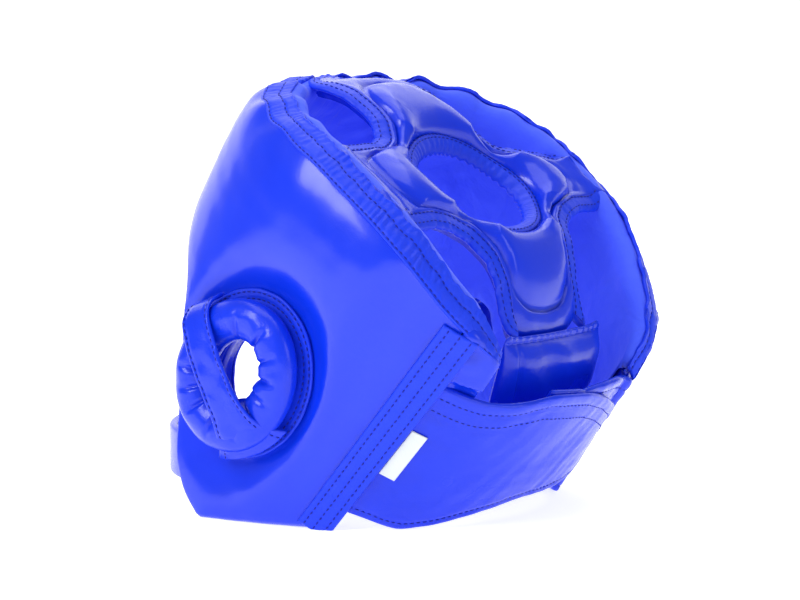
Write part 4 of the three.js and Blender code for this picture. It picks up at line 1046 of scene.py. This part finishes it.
@dataclass
class EarPiece:
    """One ear: a sewn flange, a stuffed ring and the strap across it.

    Attributes:
        side: side of the head.
        seat: distance of the dish's face from the middle of the head.
        flange: thickness of the flange.
        hole: radius of the ear opening.
        ring_radius: radius of the ring's middle line.
        ring_width: size of the ring across its section.
        ring_height: size of the ring outwards.
        strap_width: width of the strap.
    """

    side: Side
    seat: float = 106.0
    flange: float = 2.0
    hole: float = EAR_HOLE
    ring_radius: float = 26.0
    ring_width: float = 22.0
    ring_height: float = 17.0
    strap_width: float = 20.0

    def place(self, out: np.ndarray, back: np.ndarray, up: np.ndarray) -> np.ndarray:
        """Point by its distance out, back and up from the ear's middle."""
        return np.stack(np.broadcast_arrays(self.side.value * out, EAR_Y + back, EAR_Z + up), -1)

    def flange_ring(self, dresser: Dresser) -> None:
        """Builds the flat flange with its two stitch rows."""
        turn = np.linspace(0, 2 * np.pi, 180, endpoint=False)[:, None]
        radius = mix(self.hole - 2, FLANGE_RADIUS, spread(26, 0.6))[None]
        wave = 0.12 * np.sin(turn * 13 + 2 * np.sin(turn * 3)) * ramp(36, 41, radius)
        mid = self.place(self.seat + GAP + self.flange / 2 + wave * 0.3, (radius + wave) * np.cos(turn),
                         (radius + wave + EAR_STRETCH) * np.sin(turn))
        edge = np.minimum(radius - self.hole + 2, FLANGE_RADIUS - radius) + 0 * turn
        sewn = sum(0.35 * bump(radius, r, 0.8) for r in FLANGE_ROWS)
        half = self.flange / 2 * rounded(edge, 1.2)
        panel = Panel(mid, half * (1 - sewn), half, closed=True)
        if (panel.normals()[0, 5] @ np.array([self.side.value, 0, 0])) < 0:
            panel = Panel(mid[:, ::-1], (half * (1 - sewn))[:, ::-1], half[:, ::-1], closed=True)
        dresser.fit(panel.build(f"ear_flange_tape_{self.side.word}"), TAPE,
                    [f"ear_flange_{self.side.word}"])
        loop = np.linspace(0, 2 * np.pi, 181)
        for r in FLANGE_ROWS:
            out = self.seat + GAP + self.flange + 0.0 * loop
            back, up = r * np.cos(loop), (r + EAR_STRETCH) * np.sin(loop)
            dresser.sew("ear_flange_tape", self.place(out, back, up))

    def ring(self, dresser: Dresser) -> None:
        """Builds the stuffed ring with its pleats."""
        turn = np.linspace(0, 2 * np.pi, 240, endpoint=False)[:, None]
        around = np.linspace(0, 2 * np.pi, 44, endpoint=False)[None]
        c, s = np.cos(around), np.sin(around)
        folds = [(-15, 1.0), (8, .6), (28, 1.1), (52, .7), (80, 1.0), (118, .6), (165, .8), (205, 1.1),
                 (226, .7), (250, 1.0), (285, .6), (318, .9)]
        degrees = np.degrees(turn)
        pleats = sum(depth * bump((degrees - at + 180) % 360 - 180, 0, 3.2) for at, depth in folds)
        pinch = pleats * (0.6 * np.clip(-c, 0, 1) + 2.6 * np.clip(s, 0, 1) * np.clip(0.6 - c, 0, 1))
        sag = 5 * bump((degrees + 40 + 180) % 360 - 180, 0, 30)
        sag = sag + 1.6 * bump((degrees - 12 + 180) % 360 - 180, 0, 9)
        radius = self.ring_radius + (self.ring_width / 2 - pinch) * c - sag * np.clip(-c, 0, 1)
        half = self.ring_height / 2
        out = self.seat + GAP + self.flange + GAP + half + (half - pinch) * s
        rings = self.place(out, radius * np.cos(turn), (radius + EAR_STRETCH) * np.sin(turn))
        uneven = 0.4 * wander(rings, 15, 61)[..., None] * np.array([self.side.value, 0, 0])
        rings = rings + uneven * np.clip(s, 0, 1)[..., None]
        piece = tube(f"ear_ring_cover_{self.side.word}", rings, True)
        dresser.fit(piece, SOFT_VINYL, [f"ear_ring_{self.side.word}"])

    def strap(self, dresser: Dresser) -> None:
        """Builds the strap over the ring."""
        rows = [(-.96, .43, .04, 1), (-.92, .39, .55, .95), (-.79, .3, .95, .95), (-.54, .145, 1.1, 1),
                (-.11, -.1, 1.15, 1), (.2, -.25, 1.14, 1.05), (.43, -.36, 1.06, 1.25), (.59, -.5, .62, 1.8),
                (.66, -.6, .16, 2.5)]
        back, up, out, flare = (Curve([(n, row[k]) for n, row in enumerate(rows)]) for k in range(4))
        n = mix(0, 8, spread(90, 0.3))

        def middle(at: np.ndarray) -> np.ndarray:
            base = self.seat + GAP + self.flange + GAP
            height = base + self.ring_height * out(at)
            return np.stack([height, FLANGE_RADIUS * back(at), FLANGE_RADIUS * up(at)], -1)

        span = middle(np.array(8.0)) - middle(np.array(0.0))
        span[0] = 0
        span = unit(span)
        across = np.array([0, -span[2], span[1]])
        wide = (spread(24, 0.6) * 2 - 1)[None]
        half = self.strap_width / 2 * flare(n)[:, None]
        bow = 4 * np.maximum(flare(n) - 1.1, 0)[:, None] * (1 - wide ** 2)
        centre = middle(n)[:, None]
        p = centre + across * (wide * half)[..., None] + span * bow[..., None]
        mid = self.place(p[..., 0] + 1.0, p[..., 1], p[..., 2])
        along = lengths(mid, 0)
        edge = (1 - np.abs(wide)) * half
        ends = np.minimum(along, along[-1:] - along)
        sewn = 0.5 * bump(edge, 2.6, 0.7)
        dome = rounded(edge, 1.6) * rounded(ends, 1.6)
        stand = (1.2 - sewn + 0.25 * wander(mid, 14, 71)) * dome
        if (Panel(mid, stand, dome).normals()[40, 12] @ np.array([self.side.value, 0, 0])) < 0:
            mid, stand, dome = mid[:, ::-1], stand[:, ::-1], dome[:, ::-1]
        panel = Panel(mid, stand, dome)
        dresser.fit(panel.build(f"ear_strap_band_{self.side.word}"), SOFT_VINYL,
                    [f"ear_strap_{self.side.word}"])
        for share in (0.16, 0.84):
            dresser.sew("ear_strap_band", panel.row(share, 0.1, 0.12, 0.95))

    def build(self, dresser: Dresser) -> None:
        """Builds the whole ear."""
        self.flange_ring(dresser)
        self.ring(dresser)
        self.strap(dresser)


@dataclass
class Closure:
    """The back: seam strips, rear flaps, lapped bands and the blank label.

    Attributes:
        tape: thickness of the seam strips.
        strip_top: width of a strip at the rim.
        strip_foot: width of a strip at its foot.
    """

    tape: float = 1.5
    strip_top: float = 20.0
    strip_foot: float = 17.0

    def strip_half(self, z: np.ndarray) -> np.ndarray:
        """Half the strip's width at a height, as an angle."""
        return mix(self.strip_foot, self.strip_top, ramp(-RIM / 2, RIM, z)) / 2 * DEGREES_PER_MM

    def strip(self, side: Side, dresser: Dresser) -> None:
        """Builds one seam strip with its three stitch rows."""
        up, wide = np.meshgrid(spread(150, 0.2), spread(24, 0.5) * 2 - 1, indexing="ij")
        foot = floor_under(oval(SEAM_FOOT, 0)[1])
        top = rim_height(SEAM_TOP) - 2.5
        z = mix(foot, top, up)
        x, y = oval(seam_angle(z) + wide * self.strip_half(z), GAP + self.tape / 2)
        z = np.maximum(z, floor_under(y))
        mid = np.stack([side.value * x, y, z], -1)
        across, along = lengths(mid, 1), lengths(mid, 0)
        edge = np.minimum(across, across[:, -1:] - across)
        ends = np.minimum(along, along[-1:] - along)
        sewn = sum(0.5 * bump(wide, s, 0.1) for s in (-0.62, 0.0, 0.62))
        dome = rounded(edge, 1.2) * rounded(ends, 1.2)
        stand = (1.25 - sewn + 0.2 * wander(mid, 9, 81)) * dome
        if (Panel(mid, stand, dome).normals()[40, 12] @ np.array([side.value, 0, 0])) < 0:
            mid, stand, dome = mid[:, ::-1], stand[:, ::-1], dome[:, ::-1]
        panel = Panel(mid, stand, 0.75 * dome)
        for s in (0.245, 0.5, 0.755):
            dresser.sew("seam_tape", panel.row(s, 0.1, 0.02, 0.98))
        dresser.fit(panel.build(f"seam_tape_{side.word}"), TAPE,
                    [f"seam_strip_{side.word}"])

    def flap(self, side: Side, dresser: Dresser) -> None:
        """Builds one padded rear flap, thinner at its end."""
        share, up = np.meshgrid(spread(60, 0.4), spread(70, 0.4), indexing="ij")
        rim = flap_rim(side, mix(SEAM_TOP, FLAP_END[side], share))
        depth = flap_depth(share)
        thin = depth / PAD
        z = mix(-BAND_TOP * FLAP_FOOT, rim + 6.5 * thin, up)
        bevel = BEVEL_WIDTH * thin * np.clip((z - rim) / (BEVEL_RISE * thin), 0, 1)
        inset = mix(4.1, 0.3, ramp(BAND_TOP + 1, BAND_TOP + 5, z)) + bevel
        x, y = oval(mix(seam_angle(z) + 0.3, FLAP_END[side], share), -inset)
        mid = np.stack([side.value * x, y, z], -1)
        along, across = lengths(mid, 0), lengths(mid, 1)
        ends = np.minimum(along, along[-1:] - along)
        edge = np.minimum(across, across[:, -1:] - across)
        dome = rounded(ends, 5) * rounded(edge, 5)
        thick = (depth - inset) * dome
        swell = (1.1 + 0.8 * wander(mid, 17, 95)) * dome
        if (Panel(mid, dome, thick).normals()[20, 30] @ np.array([side.value, 0.5, 0])) < 0:
            mid, swell, thick = mid[:, ::-1], swell[:, ::-1], thick[:, ::-1]
        panel = Panel(mid, np.maximum(swell, 0), np.maximum(thick, 0))
        dresser.fit(panel.build(f"rear_flap_cover_{side.word}"), VINYL,
                    [f"rear_flap_{side.word}"])

    def band(self, side: Side, dresser: Dresser) -> None:
        """Builds one closure band with its stitches."""
        end = 117.0 if side is Side.LEFT else 108.0
        share, up = np.meshgrid(spread(220, 0.25), spread(44, 0.5), indexing="ij")
        middle = mix(SEAM_FOOT, end, share)
        place = middle if side is Side.LEFT else np.minimum(middle, 180 - middle)
        z = mix(BAND_TOP * BAND_LOW(place), BAND_TOP * BAND_UP(place), up)
        step = 0 if side is Side.LEFT else ramp(FLAP_END[side], 60, middle)
        inset = mix(GAP, GAP + BAND_THICKNESS + GAP, step) + BAND_THICKNESS / 2
        x, y = oval(mix(seam_angle(z) + GAP, end, share), -inset)
        z = np.maximum(z, floor_under(y))
        mid = np.stack([side.value * x, y, z], -1)
        along, across = lengths(mid, 0), lengths(mid, 1)
        ends = np.minimum(along, along[-1:] - along)
        edge = np.minimum(across, across[:, -1:] - across)
        dome = rounded(edge, 2.5) * rounded(ends, 2.5)
        top, foot = across[:, -1:] - across, across
        groove = 0.7 * bump(top, 7.5, 0.9) + 0.45 * bump(top, 15 + 4 * np.sin(share * 9), 1.0)
        groove = groove + 0.7 * bump(foot, 4.5, 0.8)
        puff = 0.25 * np.sin(np.clip(top / 7.5, 0, 1) * np.pi) + 0.35 * wander(mid, 40, 91)
        puff = puff + 0.15 * wander(mid, 12, 92)
        stand = (BAND_THICKNESS / 2 - groove + puff) * dome
        if (Panel(mid, stand, dome).normals()[100, 20] @ np.array([0, 1, 0])) < 0:
            mid, stand, dome, top, foot = (g[:, ::-1] for g in (mid, stand, dome, top, foot))
        panel = Panel(mid, np.maximum(stand, 0), BAND_THICKNESS / 2 * dome)
        face = panel.top()
        for height, far in ((7.5, top), (15.5, top), (4.5, foot)):
            line = []
            for i in range(8, len(mid) - 6):
                order = np.argsort(far[i])
                at = [np.interp(height, far[i][order], face[i][order][:, k]) for k in range(3)]
                line.append(at)
            if side is Side.LEFT or height != 15.5:
                dresser.sew("closure_band", np.array(line))
        dresser.fit(panel.build(f"closure_band_cover_{side.word}"), SOFT_VINYL,
                    [f"closure_band_{side.word}"])

    def label(self, dresser: Dresser) -> None:
        """Builds the blank white label beside the left seam."""
        up, wide = np.meshgrid(spread(40, 0.3), spread(16, 0.5), indexing="ij")
        z = mix(1, 32, up)
        x, y = oval(seam_angle(z) + self.strip_half(z) + (GAP + 9 * wide) * DEGREES_PER_MM, 0.35)
        mid = np.stack([x, y, z], -1)
        across, along = lengths(mid, 1), lengths(mid, 0)
        edge = np.minimum(np.minimum(across, across[:, -1:] - across), np.minimum(along, along[-1:] - along))
        half = 0.3 * rounded(edge, 0.5)
        if (Panel(mid, half, half).normals()[20, 8] @ np.array([1, 0.5, 0])) < 0:
            mid, half = mid[:, ::-1], half[:, ::-1]
        piece = Panel(mid, half, half).build("blank_label")
        dresser.fit(piece, LABEL, ["label_tag"])

    def build(self, dresser: Dresser) -> None:
        """Builds the back of the guard."""
        for side in Side:
            self.flap(side, dresser)
            self.band(side, dresser)
            self.strip(side, dresser)
        self.label(dresser)


@dataclass
class ChinStrap:
    """The chin strap, a level loop where the guard rests.

    Attributes:
        width: of the strap, upright.
        thickness: of the strap.
        reach: of the loop forward.
        start: place along the head at which the bend starts.
        sewn: length sewn in at each end.
        height: of the middle line over the floor.
    """

    width: float = 28.0
    thickness: float = 5.0
    reach: float = 78.0
    start: float = -36.0
    sewn: float = 16.0
    height: float = 27.0

    def build(self, dresser: Dresser) -> None:
        """Builds the strap."""
        half = HALF_WIDTH - PAD - 3 * GAP - 1.5 - self.thickness / 2
        turn = np.linspace(-np.pi / 2, np.pi / 2, 120)
        x = np.r_[-half, -half, half * np.sin(turn), half, half]
        y = np.r_[self.start + self.sewn, self.start + self.sewn / 2, self.start - self.reach * np.cos(turn),
                  self.start + self.sewn / 2, self.start + self.sewn]
        up = spread(20, 0.5)[None] * 2 - 1
        c, s = math.cos(LEAN), math.sin(LEAN)
        z = self.height + up * self.width / 2 - EAR_LINE
        level = np.stack(np.broadcast_arrays(x[:, None], y[:, None], z), -1)
        y, z = level[..., 1] * c - level[..., 2] * s, level[..., 1] * s + level[..., 2] * c
        mid = np.stack([level[..., 0], y, z], -1)
        across, along = lengths(mid, 1), lengths(mid, 0)
        edge = np.minimum(across, across[:, -1:] - across)
        ends = np.minimum(along, along[-1:] - along)
        half_t = self.thickness / 2 * rounded(edge, 2.5) * rounded(ends, 2.5)
        piece = Panel(mid, half_t, half_t).build("chin_strap_cover")
        dresser.fit(piece, SOFT_VINYL, ["chin_strap"])


@dataclass
class Studio:
    """Pale floor, soft lights and the camera.

    Attributes:
        azimuth: of the camera, in degrees.
        elevation: of the camera, in degrees.
        distance: from the target in metres.
        lens: focal length in mm.
        target: point that the camera circles.
        aim_right: shift of the aim to the right in metres.
        aim_up: shift of the aim upwards in metres.
    """

    azimuth: float = 35.3
    elevation: float = 5.92
    distance: float = 1.3723
    lens: float = 112.5
    target: tuple[float, float, float] = (0.0, 0.01538, 0.115)
    aim_right: float = -0.00867
    aim_up: float = -0.00384

    def camera(self) -> None:
        """Places the camera at the photograph's angle."""
        a, e = math.radians(self.azimuth), math.radians(self.elevation)
        back = Vector((math.cos(e) * math.cos(a), math.cos(e) * math.sin(a), math.sin(e)))
        right = Vector((-math.sin(a), math.cos(a), 0))
        target = Vector(self.target)
        place = target + back * self.distance
        aim = target + right * self.aim_right + back.cross(right) * self.aim_up
        data = bpy.data.cameras.new("camera")
        data.lens, data.sensor_width = self.lens, 36.0
        data.clip_start, data.clip_end = 0.05, 20
        seen = bpy.data.objects.new("camera", data)
        seen.location = place
        seen.rotation_euler = (aim - place).to_track_quat("-Z", "Y").to_euler()
        bpy.context.scene.collection.objects.link(seen)
        bpy.context.scene.camera = seen

    def light(self, name: str, place: Sequence[float], size: float, power: float) -> None:
        """Adds one soft upright light that faces the guard."""
        data = bpy.data.lights.new(name, "AREA")
        data.shape = "RECTANGLE"
        data.size, data.size_y, data.energy = size, size * 1.9, power
        made = bpy.data.objects.new(name, data)
        made.location = place
        made.rotation_euler = (Vector((0, 0, 0.12)) - Vector(place)).to_track_quat("-Z", "Y").to_euler()
        bpy.context.scene.collection.objects.link(made)

    def build(self) -> None:
        """Builds the whole studio."""
        self.camera()
        a = math.radians(self.azimuth)
        forward = np.array([math.cos(a), math.sin(a), 0])
        right = np.array([-math.sin(a), math.cos(a), 0])
        up = np.array([0, 0, 1])
        self.light("key", forward * 0.9 - right * 1.1 + up * 1.0, 0.5, 14)
        self.light("fill", forward * 1.0 + right * 1.2 + up * 0.6, 0.4, 2.5)
        self.light("top", up * 1.4 - forward * 0.2, 1.1, 15)
        world = bpy.data.worlds.new("studio")
        world.use_nodes = True
        world.node_tree.nodes["Background"].inputs[0].default_value = (1, 1, 1, 1)
        world.node_tree.nodes["Background"].inputs[1].default_value = 0.31
        bpy.context.scene.world = world
        bpy.context.scene.view_settings.view_transform = "Standard"
        turn = np.radians(np.linspace(0, 90, 24))
        run = np.r_[3.0, -2.5 - 1.5 * np.sin(turn), -4.0]
        rise = np.r_[0.0, 1.5 - 1.5 * np.cos(turn), 4.0]
        rows = forward * run[:, None] + up * rise[:, None]
        points = np.stack([rows - right * 5, rows + right * 5], 1)
        mesh = bpy.data.meshes.new("floor")
        mesh.from_pydata(points.reshape(-1, 3).tolist(), [], grid_faces(len(run), 2, False, False))
        mesh.polygons.foreach_set("use_smooth", [True] * len(mesh.polygons))
        floor = bpy.data.objects.new("floor", mesh)
        bpy.context.scene.collection.objects.link(floor)
        paper = bpy.data.materials.new("white_paper")
        paper.use_nodes = True
        look = paper.node_tree.nodes["Principled BSDF"].inputs
        look["Base Color"].default_value = linear(0xF6F6F8)
        look["Roughness"].default_value = 0.9
        look["Emission Color"].default_value = (1, 1, 1, 1)
        look["Emission Strength"].default_value = 0.72
        mesh.materials.append(paper)


def main() -> None:
    """Builds the guard piece by piece, then the studio."""
    logging.basicConfig(level=logging.INFO, format="%(name)s: %(message)s")
    Studio().build()
    dresser = Dresser()
    Shell().build(dresser)
    crown = Crown()
    crown.build(dresser)
    RearTab().build(crown, dresser)
    for side in Side:
        EarPiece(side).build(dresser)
    Closure().build(dresser)
    ChinStrap().build(dresser)
    for owner, lines in dresser.rows.items():
        Stitching().build(owner, lines)


if __name__ == "__main__":
    main()
